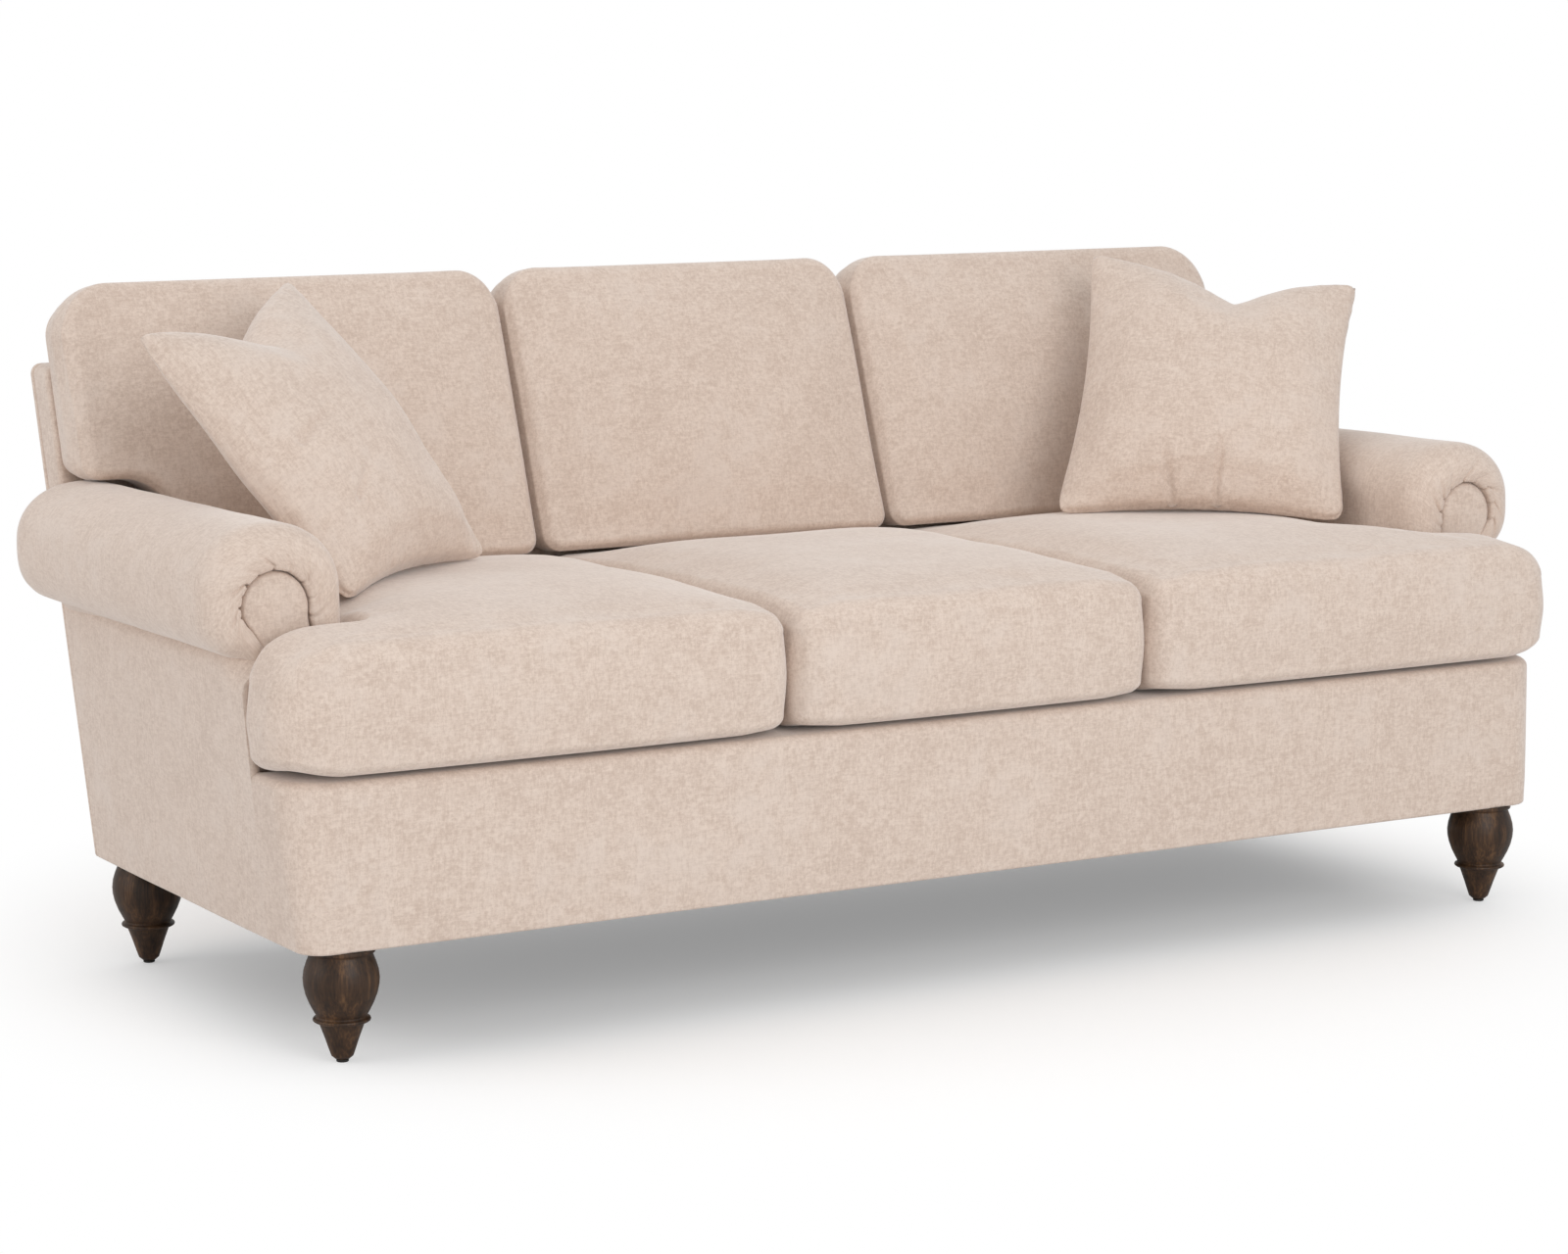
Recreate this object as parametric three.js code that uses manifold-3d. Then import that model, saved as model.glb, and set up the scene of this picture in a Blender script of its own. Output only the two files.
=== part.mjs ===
// English roll arm sofa, three seats, in millimetres. X runs along the sofa, the front faces -Y, Z is up.
// It is drawn with Y = 0 on the front legs' centre line and is centred over its own floor box at the end.
import * as THREE from 'three';
import { mergeVertices } from 'three/addons/utils/BufferGeometryUtils.js';
import Module from 'manifold-3d';

const wasm = await Module();
wasm.setup();

// Clearances
const seatGap = 0.3;
const overrun = 40;
const softGap = 1;
const cushionGap = 0.5;

// The seats' widths set the arms' inner faces, and the arms, base, back and legs are placed from those faces
const centreSeatWidth = 580;
const sideSeatWidth = 579;
const seatDivide = centreSeatWidth / 2;
const armInner = seatDivide + sideSeatWidth;

// Upholstered box below the seat; its front stands before the front legs' centre line
const baseBottom = 148;
const baseHeight = 220;
const baseTop = baseBottom + baseHeight;
const baseOverhang = 42;
const baseFrontY = -baseOverhang;
const baseReach = 126;
const baseHalfBottom = armInner + baseReach;
const baseFlare = 19;
const baseHalfTop = baseHalfBottom + baseFlare;
const skin = 10;
const sidePad = 24;
const panelPad = 13;
const hemRounding = 4;
const lipRounding = 12;
const lipUnderside = baseTop - lipRounding;
const cornerRadiusBottom = 34;
const cornerRadiusTop = 70;
const borderReturn = 122;
const armFrontY = baseFrontY + borderReturn;
const cornerSteps = 6;
const edgeSteps = 3;

// Back: the rear face leans back by rakeShare of its height
const rakeShare = 0.31;
const rearFootY = 689.5;
const backDepth = 65;
const backHeight = 454;
const backTop = baseTop + backHeight;
const backInset = 7;
const backHalf = baseHalfBottom - backInset;
const backTopRounding = 16;
const backPad = 15;

// Legs
const legSideInset = 65;
const legSpread = baseHalfBottom - legSideInset;
const legRearInset = 47.5;
const rearLegY = rearFootY - legRearInset;
const glideHeight = 3;
const glideRadius = 8;
const legFootRadius = 9;
const legToeRadius = 14;
const legToeHeight = 8;
const legSlimRadius = 28;
const legSlimHeight = 48;
const legRingRadius = 36;
const legRingHeight = 54.5;
const legRingThickness = 7;
const legNeckRadius = 34;
const legBulgeRadius = 48.5;
const legBulgeDrop = 39;
const legBulgeHeight = baseBottom - legBulgeDrop;
const legShoulderRadius = 44.5;
const legShoulderDrop = 23.5;
const legShoulderHeight = baseBottom - legShoulderDrop;
const legWaistRadius = 40;
const legWaistDrop = 8;
const legWaistHeight = baseBottom - legWaistDrop;
const legCollarRadius = 44;
const legSides = 12;
// Height and width of two points on the swell between the neck and the bulge
const legSwellShares = [[0.35, 0.62], [0.7, 0.92]];
const boltRadius = 4;
const boltInLeg = 45;
const boltInBlock = 34;
const roundSides = 10;

// Hardwood frame
const railThickness = 22;
const railBelowTop = 23;
const railTop = baseTop - railBelowTop;
const coverThickness = 1.5;
const railBottom = baseBottom + coverThickness + seatGap * 2;
const legTop = railBottom - seatGap;
const railFrontY = baseFrontY + skin + seatGap;
const railInnerFrontY = railFrontY + railThickness;
const sideRailOuter = baseHalfBottom - sidePad - seatGap;
const sideRailInner = sideRailOuter - railThickness;
const blockLeg = 96;
const blockHeight = 40;
const centreRailX = seatDivide;
const centreRailDrop = 10;
const centreRailTop = railTop - centreRailDrop;
const centreRailHeight = 85;
const centreRailBottom = centreRailTop - centreRailHeight;
const backFloorRise = 9;
const backFloor = railTop + backFloorRise;
const armPostWidth = 40;
const armPostInner = sideRailInner - seatGap - armPostWidth;
const backPostOffset = 42;
const backPostX = armInner + backPostOffset;
const backPostDepth = 39.4;
const lowerRailRise = 55;
const lowerRailHeight = railTop + lowerRailRise;
const lowerRailWidth = 45;
const topRailWidth = 60;

// Seat springs and deck
const springsPerSeat = 3;
const springSpacing = 170;
const springRadius = 2;
const springHalfWave = 26;
const springBends = 10;
const springCrown = 10;
const springSides = 4;
const springFlatShare = 0.25;
const deckThickness = 8;
const deckBottom = railTop + seatGap + springRadius * 2 + springCrown + seatGap;
const deckClearance = 3.4;
const deckHalf = armPostInner - deckClearance;

// Arms, given for the right one by distance from the middle of the sofa
const armPad = 24;
const armPocketWall = 10;
const rollHalfWidth = 96.5;
const rollCentreX = armInner + rollHalfWidth;
const rollCentreRise = 220;
const rollCentreZ = baseTop + rollCentreRise;
const rollRise = 88;
const rollDrop = 87;
const rollUnderZ = rollCentreZ - rollDrop;
const rollUnderOffset = 37.5;
const rollUnderX = rollCentreX + rollUnderOffset;
const rollSteps = 15;
const rollStart = Math.PI;
const rollEnd = -Math.PI * 0.42;
const rollUpperShare = 0.93;
const rollLowerShare = 0.67;
const rollSetback = 8;
const rollFrontY = armFrontY + rollSetback;
const rollRearReach = 110.5;
const rollRearY = rearFootY + rollRearReach;
const rollRearDroop = 9;
const facingHeadOffset = 3;
const facingHeadX = rollCentreX + facingHeadOffset;
const facingHeadDrop = 17;
const facingHeadZ = rollCentreZ - facingHeadDrop;
const facingRadius = 46;
const facingStart = Math.PI * 1.08;
const facingEnd = -Math.PI * 0.11;
const facingWaistRise = 11;
const facingWaistZ = rollUnderZ + facingWaistRise;
const facingInnerInset = 36;
const facingInnerX = armInner + facingInnerInset;
const facingOuterInset = 19;
const facingOuterX = rollUnderX - facingOuterInset;
const facingThickness = 12;
const facingRecess = 7;
const armBoardThickness = 32;
const armBoardDrop = 28;
const armBoardBottom = rollCentreZ - armBoardDrop;
const boardInnerX = armInner + armPad + seatGap;
const boardOuterX = rollUnderX;
// How far each ring of the arm is drawn in towards the facing's edge, and its distance from the arm's end
const rollFrontShares = [[1, 0.05], [0.7, 0], [0.4, 0.1], [0.15, 0.35], [0, 0.85]];
const rollRearShares = [[0, 0.85], [0.12, 0.4], [0.35, 0.1], [0.6, 0]];
const rollEndLength = 55;

// Seat cushions
const seatBottom = baseTop + cushionGap;
const seatOverhang = 10;
const seatFrontY = baseFrontY - seatOverhang;
const seatFrontBulge = 11;
const seatSideBulge = 4;
const seatBackClearance = 2.855;
const seatFrontHeight = 169.5;
const seatEdgeFront = seatBottom + seatFrontHeight;
const seatRearHeight = 160;
const seatEdgeRear = seatBottom + seatRearHeight;
const seatCrown = 36;
const earOverhang = 11;
const earOuterX = baseHalfTop + earOverhang;
const earClearance = 11;
const earRearY = rollFrontY - earClearance;
const earFadeAhead = 39;
const earFadeFrontY = earRearY - earFadeAhead;
const earFadeBehind = 113;
const earFadeRearY = earRearY + earFadeBehind;
const seatCornerRadius = 38;
const earCornerRadius = 52;
// An ear's top falls and its underside rises towards its outer side, and more so at its front corner
const earSideReach = 80;
const earSideDrop = 42;
const earSideRise = 18;
const earFrontReach = 95;
const earCornerDrop = 20;
const earCornerRise = 12;
const smallCornerRadius = 18;
const seatEdgeRounding = 12;
const crownRearInset = 56;
const crownPower = 2.4;
const edgeStep = 125;
const ringShares = [0.94, 0.8, 0.58, 0.32];
// A point on the rounded upper edge, as shares of the rounding: how far it is drawn in and below the top
const edgeBendShares = [0.35, 0.3];

// Back cushions
const backCushionGap = 1.5;
const backCushionBottom = seatEdgeRear + backCushionGap;
const backCushionHeight = 416;
const backCushionTop = backCushionBottom + backCushionHeight;
const backDivideOffset = 9.5;
const backDivide = seatDivide + backDivideOffset;
const backCushionDepthLow = 108;
const backCushionDepthTop = 82;
const backCushionCrown = 26;
const backEarInset = 6;
const backEarOuterX = backHalf - backEarInset;
const backEarGap = 7;
const backEarBottom = rollCentreZ + rollRise - rollRearDroop + backEarGap;
const backEarFootRadius = 20;
const backCornerRadius = 48;
const backOuterCornerRadius = 72;
const backEdgeRounding = 16;
const backSideBulge = 3;
const topTiltShare = 0.28;

// Throw pillows, the right one; the left one mirrors it
const pillowWidth = 421;
const pillowHeight = 455;
const pillowThickness = 150;
const pillowPull = 16;
const pillowDent = 46;
const pillowDentShare = 0.3;
// Where the middle of its lower edge rests on the seat
const pillowFootFromArm = 216.5855;
const pillowFootFromRear = 360.7155;
const pillowFootRise = 22.209;
const pillowTurn = THREE.MathUtils.degToRad(36);
const pillowLean = THREE.MathUtils.degToRad(38);
const pillowRoll = THREE.MathUtils.degToRad(-4.2);
const pillowCells = 14;
const pillowSeam = 3;
const pillowRingShares = [0.3, 0.6, 0.85, 1];

const fabric = { color: 0xd7c8bc, roughness: 0.95, metalness: 0 };
const walnut = { color: 0x463a30, roughness: 0.45, metalness: 0 };
const hardwood = { color: 0xc9a878, roughness: 0.8, metalness: 0 };
const steel = { color: 0x8f9296, roughness: 0.4, metalness: 1 };
const nylon = { color: 0x2a2623, roughness: 0.6, metalness: 0 };
const cloth = { color: 0x33302e, roughness: 0.95, metalness: 0 };
const felt = { color: 0xbdb4a6, roughness: 0.95, metalness: 0 };

const sofa = new THREE.Group();

const rearY = (z) => rearFootY + rakeShare * (z - baseBottom);
const frameFrontY = (z) => rearY(z) - backDepth;
const seatRearY = frameFrontY(seatBottom) - seatSideBulge - seatBackClearance;
const crownRearY = seatRearY - crownRearInset;
const sideX = (z) => THREE.MathUtils.mapLinear(z, baseBottom, baseTop, baseHalfBottom, baseHalfTop);
const at = (x, y, z) => new THREE.Vector3(x, y, z);

function add(name, geometry, finish) {
  const piece = new THREE.Mesh(geometry, new THREE.MeshStandardMaterial(finish));
  piece.name = name;
  sofa.add(piece);
  return piece;
}

// Turns a closed surface that faces inwards the right way round
function facingOut(geometry) {
  const p = geometry.attributes.position;
  const index = geometry.index.array;
  const [a, b, c] = [at(0, 0, 0), at(0, 0, 0), at(0, 0, 0)];
  let volume = 0;
  for (let i = 0; i < index.length; i += 3) {
    a.fromBufferAttribute(p, index[i]);
    b.fromBufferAttribute(p, index[i + 1]);
    c.fromBufferAttribute(p, index[i + 2]);
    volume += a.dot(b.cross(c));
  }
  if (volume < 0) {
    for (let i = 0; i < index.length; i += 3) [index[i], index[i + 1]] = [index[i + 1], index[i]];
  }
  return geometry;
}

// A closed body from rings of equal length; an end is filled from its peak, or as a fan where it is convex
function loft(rings, firstPeak = null, lastPeak = null) {
  const count = rings[0].length;
  const points = rings.flat();
  const faces = [];
  for (let r = 0; r + 1 < rings.length; r += 1) {
    for (let i = 0; i < count; i += 1) {
      const [a, b] = [r * count + i, r * count + ((i + 1) % count)];
      faces.push([a, b, b + count], [a, b + count, a + count]);
    }
  }
  const close = (start, peak, turned) => {
    const around = Array.from({ length: count }, (_, i) => [start + i, start + ((i + 1) % count)]);
    const middle = peak ? points.push(peak) - 1 : start;
    for (const [a, b] of peak ? around : around.slice(1, -1)) {
      faces.push(turned ? [b, a, middle] : [a, b, middle]);
    }
  };
  close(0, firstPeak, true);
  close((rings.length - 1) * count, lastPeak, false);
  const geometry = new THREE.BufferGeometry().setFromPoints(points);
  geometry.setIndex(faces.flat());
  return facingOut(geometry);
}

function mirrored(geometry) {
  return facingOut(geometry.clone().scale(-1, 1, 1));
}

function solid(geometry) {
  const bare = geometry.clone();
  bare.deleteAttribute('normal');
  bare.deleteAttribute('uv');
  const merged = mergeVertices(bare);
  const vertProperties = new Float32Array(merged.attributes.position.array);
  const triVerts = new Uint32Array(merged.index.array);
  return new wasm.Manifold(new wasm.Mesh({ numProp: 3, vertProperties, triVerts }));
}

function cut(geometry, ...tools) {
  const mesh = tools.reduce((body, tool) => body.subtract(solid(tool)), solid(geometry)).getMesh();
  const left = new THREE.BufferGeometry();
  left.setAttribute('position', new THREE.BufferAttribute(mesh.vertProperties, 3));
  left.setIndex(Array.from(mesh.triVerts));
  return left;
}

function block([x0, x1], [y0, y1], [z0, z1]) {
  const box = new THREE.BoxGeometry(x1 - x0, y1 - y0, z1 - z0);
  return box.translate((x0 + x1) / 2, (y0 + y1) / 2, (z0 + z1) / 2);
}

function upright(radius, sides, x, y, [z0, z1]) {
  const rod = new THREE.CylinderGeometry(radius, radius, z1 - z0, sides).rotateX(Math.PI / 2);
  return rod.translate(x, y, (z0 + z1) / 2);
}

// A bar along X whose front and back faces are given by height
function barAlong([x0, x1], front, back, [z0, z1]) {
  const ring = (x) => [at(x, front(z0), z0), at(x, back(z0), z0), at(x, back(z1), z1), at(x, front(z1), z1)];
  return loft([ring(x0), ring(x1)]);
}

// A closed outline with rounded right-angled corners, anticlockwise, as points with their outward directions
function roundedOutline(corners) {
  const outline = [];
  const spots = corners.map(([x, y]) => new THREE.Vector2(x, y));
  corners.forEach(([, , radius], i) => {
    const before = spots.at(i - 1);
    const after = spots[(i + 1) % spots.length];
    const into = spots[i].clone().sub(before).normalize();
    const away = after.clone().sub(spots[i]).normalize();
    const side = Math.sign(into.cross(away));
    const centre = spots[i].clone().addScaledVector(into, -radius).addScaledVector(away, radius);
    const steps = radius > smallCornerRadius ? cornerSteps : cornerSteps / 3;
    for (let k = 0; k <= steps; k += 1) {
      const angle = (Math.PI / 2) * (k / steps);
      const out = away.clone().multiplyScalar(-Math.cos(angle)).addScaledVector(into, Math.sin(angle));
      outline.push({ point: centre.clone().addScaledVector(out, radius), out: out.multiplyScalar(side) });
    }
    const start = outline.at(-1).point;
    const end = after.clone().addScaledVector(away, -corners[(i + 1) % corners.length][2]);
    const parts = Math.ceil(start.distanceTo(end) / edgeStep);
    const out = new THREE.Vector2(away.y, -away.x);
    for (let k = 1; k < parts; k += 1) outline.push({ point: start.clone().lerp(end, k / parts), out });
  });
  return outline;
}

// A filled form over an outline: rings up its side, each [drawn in by, share of the depth], then rings over
// its crowned face towards the centre; place(point, share) gives the point's place in the sofa
function crownedForm(outline, centre, layers, place) {
  const inset = (by) => outline.map(({ point, out }) => point.clone().addScaledVector(out, -by));
  const rings = layers.map(([by, share]) => inset(by).map((p) => place(p, share)));
  const rim = inset(layers.at(-1)[0]);
  for (const share of ringShares) rings.push(rim.map((p) => place(centre.clone().lerp(p, share), 1)));
  return loft(rings, place(centre, 0), place(centre, 1));
}

const fade = (x, low, high) => THREE.MathUtils.smoothstep(x, low, high);
const bump = (x, low, high) => {
  const share = Math.abs((2 * x - low - high) / (high - low));
  return Math.max(0, 1 - share ** crownPower);
};

// Quarter-round edge as pairs of how far it is drawn in and how far it is below the top
function edgeRound(radius) {
  return Array.from({ length: edgeSteps + 1 }, (_, k) => {
    const angle = (Math.PI / 2) * (k / edgeSteps);
    return [radius * (1 - Math.cos(angle)), radius * (1 - Math.sin(angle))];
  });
}

function addLegs() {
  const profile = [
    [0, glideHeight + seatGap], [legFootRadius, glideHeight + seatGap], [legToeRadius, legToeHeight],
    [legSlimRadius, legSlimHeight], [legRingRadius, legRingHeight - legRingThickness / 2],
    [legRingRadius, legRingHeight + legRingThickness / 2],
    [legNeckRadius, legRingHeight + legRingThickness],
  ];
  const bulgeStart = legRingHeight + legRingThickness;
  for (const [up, out] of legSwellShares) {
    const radius = THREE.MathUtils.lerp(legNeckRadius, legBulgeRadius, out);
    profile.push([radius, THREE.MathUtils.lerp(bulgeStart, legBulgeHeight, up)]);
  }
  const boreRadius = boltRadius + seatGap;
  profile.push(
    [legBulgeRadius, legBulgeHeight], [legShoulderRadius, legShoulderHeight], [legWaistRadius, legWaistHeight],
    [legCollarRadius, legWaistHeight + legRingThickness / 2], [legCollarRadius, baseBottom - seatGap],
    [legSlimRadius, baseBottom - seatGap], [legSlimRadius, legTop],
    [boreRadius, legTop], [boreRadius, legTop - boltInLeg], [0, legTop - boltInLeg],
  );
  const outline = profile.map(([r, z]) => new THREE.Vector2(r, z));
  const leg = new THREE.LatheGeometry(outline, legSides).rotateX(Math.PI / 2);
  leg.deleteAttribute('normal');
  leg.deleteAttribute('uv');
  const turned = facingOut(mergeVertices(leg));
  const glide = upright(glideRadius, roundSides, 0, 0, [0, glideHeight]);
  const bolt = upright(boltRadius, roundSides, 0, 0, [legTop - boltInLeg + seatGap, legTop + boltInBlock]);
  for (const [end, y] of [['front', 0], ['rear', rearLegY]]) {
    for (const [side, x] of [['left', -legSpread], ['right', legSpread]]) {
      add(`leg_${end}_${side}`, turned.clone(), walnut).position.set(x, y, 0);
      add(`floor_glide_${end}_${side}`, glide.clone(), nylon).position.set(x, y, 0);
      add(`leg_bolt_${end}_${side}`, bolt.clone(), steel).position.set(x, y, 0);
    }
  }
}

function addFrame() {
  const rails = [railBottom, railTop];
  const rearFace = (z) => rearY(z) - skin - seatGap;
  const rearInner = (z) => rearFace(z) - railThickness;
  const full = [-sideRailOuter, sideRailOuter];
  const between = [-sideRailInner + seatGap, sideRailInner - seatGap];
  add('front_rail', barAlong(full, () => railFrontY, () => railInnerFrontY, rails), hardwood);
  add('rear_rail', barAlong(between, rearInner, rearFace, rails), hardwood);
  const railBack = () => railInnerFrontY + seatGap;
  const sideRail = barAlong([sideRailInner, sideRailOuter], railBack, rearFace, rails);
  const centreSpan = [centreRailX - railThickness / 2, centreRailX + railThickness / 2];
  const centreBack = (z) => rearInner(z) - seatGap;
  const centreRail = barAlong(centreSpan, railBack, centreBack, [centreRailBottom, centreRailTop]);
  const postSpan = [armPostInner, armPostInner + armPostWidth];
  const postFrontY = rollFrontY + facingRecess + facingThickness + armPocketWall + seatGap * 2;
  const postDepths = [postFrontY, postFrontY + armPostWidth];
  const postLevels = [railBottom + blockHeight + seatGap, armBoardBottom - seatGap];
  const armPost = block(postSpan, postDepths, postLevels);
  const boardTop = armBoardBottom + armBoardThickness - seatGap;
  const boardRear = (z) => frameFrontY(z) - seatGap * 2;
  const boardSpan = [boardInnerX, boardOuterX];
  const armBoard = barAlong(boardSpan, () => postFrontY, boardRear, [armBoardBottom, boardTop]);
  const postFront = (z) => rearFace(z) - backPostDepth;
  const backSpan = [backPostX - railThickness / 2, backPostX + railThickness / 2];
  const postTop = backTop - railThickness;
  const backPost = barAlong(backSpan, postFront, rearFace, [railTop + seatGap, postTop]);
  const pairs = [
    ['side_rail', sideRail], ['centre_rail', centreRail], ['arm_post', armPost], ['arm_board', armBoard],
    ['back_post', backPost],
  ];
  for (const [name, right] of pairs) {
    add(`${name}_right`, right, hardwood);
    add(`${name}_left`, mirrored(right), hardwood);
  }
  const betweenPosts = [-backSpan[0] + seatGap, backSpan[0] - seatGap];
  const upper = [postTop - topRailWidth, postTop];
  add('back_top_rail', barAlong(betweenPosts, postFront, rearFace, upper), hardwood);
  const lower = [lowerRailHeight, lowerRailHeight + lowerRailWidth];
  add('back_lower_rail', barAlong(betweenPosts, postFront, rearFace, lower), hardwood);
  addCornerBlocks(rearInner);
}

function addCornerBlocks(rearInner) {
  const cornerX = sideRailInner - seatGap;
  for (const [end, legY, cornerY, way] of [['front', 0, railInnerFrontY + seatGap, 1],
    ['rear', rearLegY, rearInner(railBottom) - seatGap, -1]]) {
    const outline = [[cornerX, cornerY], [cornerX - blockLeg, cornerY], [cornerX, cornerY + way * blockLeg]];
    const shape = new THREE.Shape(outline.map(([x, y]) => new THREE.Vector2(x, y)));
    shape.holes.push(new THREE.Path().absarc(legSpread, legY, boltRadius + seatGap, 0, Math.PI * 2));
    const options = { depth: blockHeight, bevelEnabled: false, curveSegments: roundSides };
    const right = new THREE.ExtrudeGeometry(shape, options).translate(0, 0, railBottom);
    right.deleteAttribute('normal');
    right.deleteAttribute('uv');
    const merged = facingOut(mergeVertices(right));
    add(`corner_block_${end}_right`, merged, hardwood);
    add(`corner_block_${end}_left`, mirrored(merged), hardwood);
  }
}

// One steel wire bent from side to side, arched up in the middle, with a square section
function springGeometry(x) {
  const start = (railFrontY + railInnerFrontY) / 2;
  const end = rearY(railTop) - skin - railThickness / 2;
  const pitch = (end - start) / (springBends + 1);
  const route = [[x, start]];
  for (let bend = 1; bend <= springBends; bend += 1) {
    const sway = (bend % 2 ? 1 : -1) * springHalfWave;
    for (const turn of [-springFlatShare, springFlatShare]) {
      route.push([x + sway, start + (bend + turn) * pitch]);
    }
  }
  route.push([x, end]);
  const ring = ([px, py], i) => {
    const [ax, ay] = route[Math.max(0, i - 1)];
    const [bx, by] = route[Math.min(route.length - 1, i + 1)];
    const across = new THREE.Vector2(ay - by, bx - ax).normalize().multiplyScalar(springRadius);
    const rise = Math.sin(Math.PI * ((py - start) / (end - start))) * springCrown;
    const z = railTop + seatGap + springRadius + rise;
    return Array.from({ length: springSides }, (_, k) => {
      const angle = (k / springSides) * Math.PI * 2;
      const side = Math.cos(angle);
      return at(px + across.x * side, py + across.y * side, z + Math.sin(angle) * springRadius);
    });
  };
  return loft(route.map(ring));
}

function addSuspension() {
  const seatCentres = [-seatDivide * 2, 0, seatDivide * 2];
  seatCentres.forEach((centre, seat) => {
    for (let k = 0; k < springsPerSeat; k += 1) {
      const x = centre + (k - (springsPerSeat - 1) / 2) * springSpacing;
      add(`seat_spring_${seat * springsPerSeat + k + 1}`, springGeometry(x), steel);
    }
  });
  const deckRear = frameFrontY(deckBottom) - seatGap;
  const levels = [deckBottom, deckBottom + deckThickness];
  add('seat_deck', block([-deckHalf, deckHalf], [armFrontY + seatGap, deckRear], levels), felt);
  const coverLevels = [baseBottom + seatGap, baseBottom + seatGap + coverThickness];
  const coverHalf = sideRailOuter - hemRounding;
  const coverEnds = [railFrontY + hemRounding, rearY(baseBottom) - skin - hemRounding];
  const cover = block([-coverHalf, coverHalf], coverEnds, coverLevels);
  const notch = legSlimRadius + softGap;
  const aroundLegs = [[-overrun, notch], [rearLegY - notch, rearLegY + overrun * 2]].flatMap((depths) => (
    [-1, 1].map((side) => {
      const ends = [side * (legSpread - notch), side * (coverHalf + overrun)].sort((a, b) => a - b);
      return block(ends, depths, [0, baseTop]);
    })));
  add('dust_cover', cut(cover, ...aroundLegs), cloth);
}

// The padded front border turns round both front corners and carries a lip over the front rail
function addBorder() {
  const ringAt = (z, inset) => {
    const half = sideX(z) - inset;
    const front = baseFrontY + inset;
    const radius = THREE.MathUtils.mapLinear(z, baseBottom, baseTop, cornerRadiusBottom, cornerRadiusTop);
    const right = [at(half, armFrontY, z)];
    for (let k = 0; k <= cornerSteps; k += 1) {
      const angle = (Math.PI / 2) * (k / cornerSteps);
      const x = half - radius + radius * Math.cos(angle);
      right.push(at(x, front + radius - radius * Math.sin(angle), z));
    }
    const left = right.map((p) => at(-p.x, p.y, p.z)).reverse();
    return [...right, ...left];
  };
  const rings = [ringAt(baseBottom, hemRounding), ringAt(baseBottom + hemRounding, 0)];
  for (const [inset, down] of edgeRound(lipRounding)) rings.push(ringAt(baseTop - down, inset));
  const pocketHalf = sideRailOuter + seatGap;
  const pocketDepths = [railFrontY - seatGap, armFrontY + overrun];
  const pocket = block([-pocketHalf, pocketHalf], pocketDepths, [0, lipUnderside]);
  add('front_border', cut(loft(rings), pocket), fabric);
}

// Flares like the front border at its front end and runs straight into the back's width at its rear end
function addOutsidePanels() {
  const rearFace = (z) => rearY(z) - skin - seatGap;
  const ringAt = (z, inset) => {
    const front = armFrontY + seatGap;
    return [
      at(sideX(z) - inset, front, z), at(backHalf - inset, rearFace(z), z),
      at(backHalf - panelPad, rearFace(z), z), at(sideX(z) - panelPad, front, z),
    ];
  };
  const panelTop = rollUnderZ - seatGap;
  const hemTop = baseBottom + hemRounding;
  const panel = loft([ringAt(baseBottom, hemRounding), ringAt(hemTop, 0), ringAt(panelTop, 0)]);
  add('outside_arm_right', panel, fabric);
  add('outside_arm_left', mirrored(panel), fabric);
}

// A slab of the raked back between two faces given by height, at levels of [height, half width]
function backSlab(front, back, levels) {
  return loft(levels.map(([z, half]) => [
    at(-half, front(z), z), at(half, front(z), z), at(half, back(z), z), at(-half, back(z), z),
  ]));
}

function addBack() {
  const rearFace = (z) => rearY(z) - skin - seatGap;
  const round = edgeRound(backTopRounding).map(([inset, down]) => [backTop - down, backHalf - inset]);
  const between = backHalf - panelPad - seatGap;
  const shoulder = [[backFloor, between], [rollUnderZ - seatGap, between], [rollUnderZ, backHalf]];
  const slab = backSlab(frameFrontY, rearFace, [...shoulder, ...round]);
  const pocketHalf = backPostX + railThickness / 2 + seatGap;
  const pocketTop = backTop - railThickness + seatGap;
  const pocketFront = (z) => frameFrontY(z) + backPad;
  const pocket = barAlong([-pocketHalf, pocketHalf], pocketFront, (z) => rearY(z) + overrun, [0, pocketTop]);
  add('inside_back', cut(slab, pocket), fabric);
  const hem = [[baseBottom, backHalf - hemRounding], [baseBottom + hemRounding, backHalf]];
  add('outside_back', backSlab((z) => rearY(z) - skin, rearY, [...hem, ...round]), fabric);
}

// Outline of an arm as seen from the front, from the foot of its inner face over the roll to its underside;
// the second list is the facing's edge that each point is drawn in to at the arm's ends
function armOutlines() {
  const legHeights = [seatBottom, (seatBottom + rollCentreZ) / 2];
  const outer = legHeights.map((z) => [armInner, z]);
  const inner = legHeights.map((z) => [facingInnerX - facingRecess, z]);
  for (let k = 0; k <= rollSteps; k += 1) {
    const angle = THREE.MathUtils.lerp(rollStart, rollEnd, k / rollSteps);
    const [c, s] = [Math.cos(angle), Math.sin(angle)];
    const power = angle < 0 ? rollLowerShare : rollUpperShare;
    const reach = s > 0 ? rollRise : rollDrop;
    const x = rollCentreX + Math.sign(c) * Math.abs(c) ** power * rollHalfWidth;
    outer.push([x, rollCentreZ + Math.sign(s) * Math.abs(s) ** power * reach]);
    const turn = THREE.MathUtils.lerp(facingStart, facingEnd, k / rollSteps);
    const radius = facingRadius + facingRecess;
    inner.push([facingHeadX + Math.cos(turn) * radius, facingHeadZ + Math.sin(turn) * radius]);
  }
  outer.push([rollUnderX, rollUnderZ]);
  inner.push([facingOuterX, facingWaistZ]);
  return { outer, inner };
}

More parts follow.
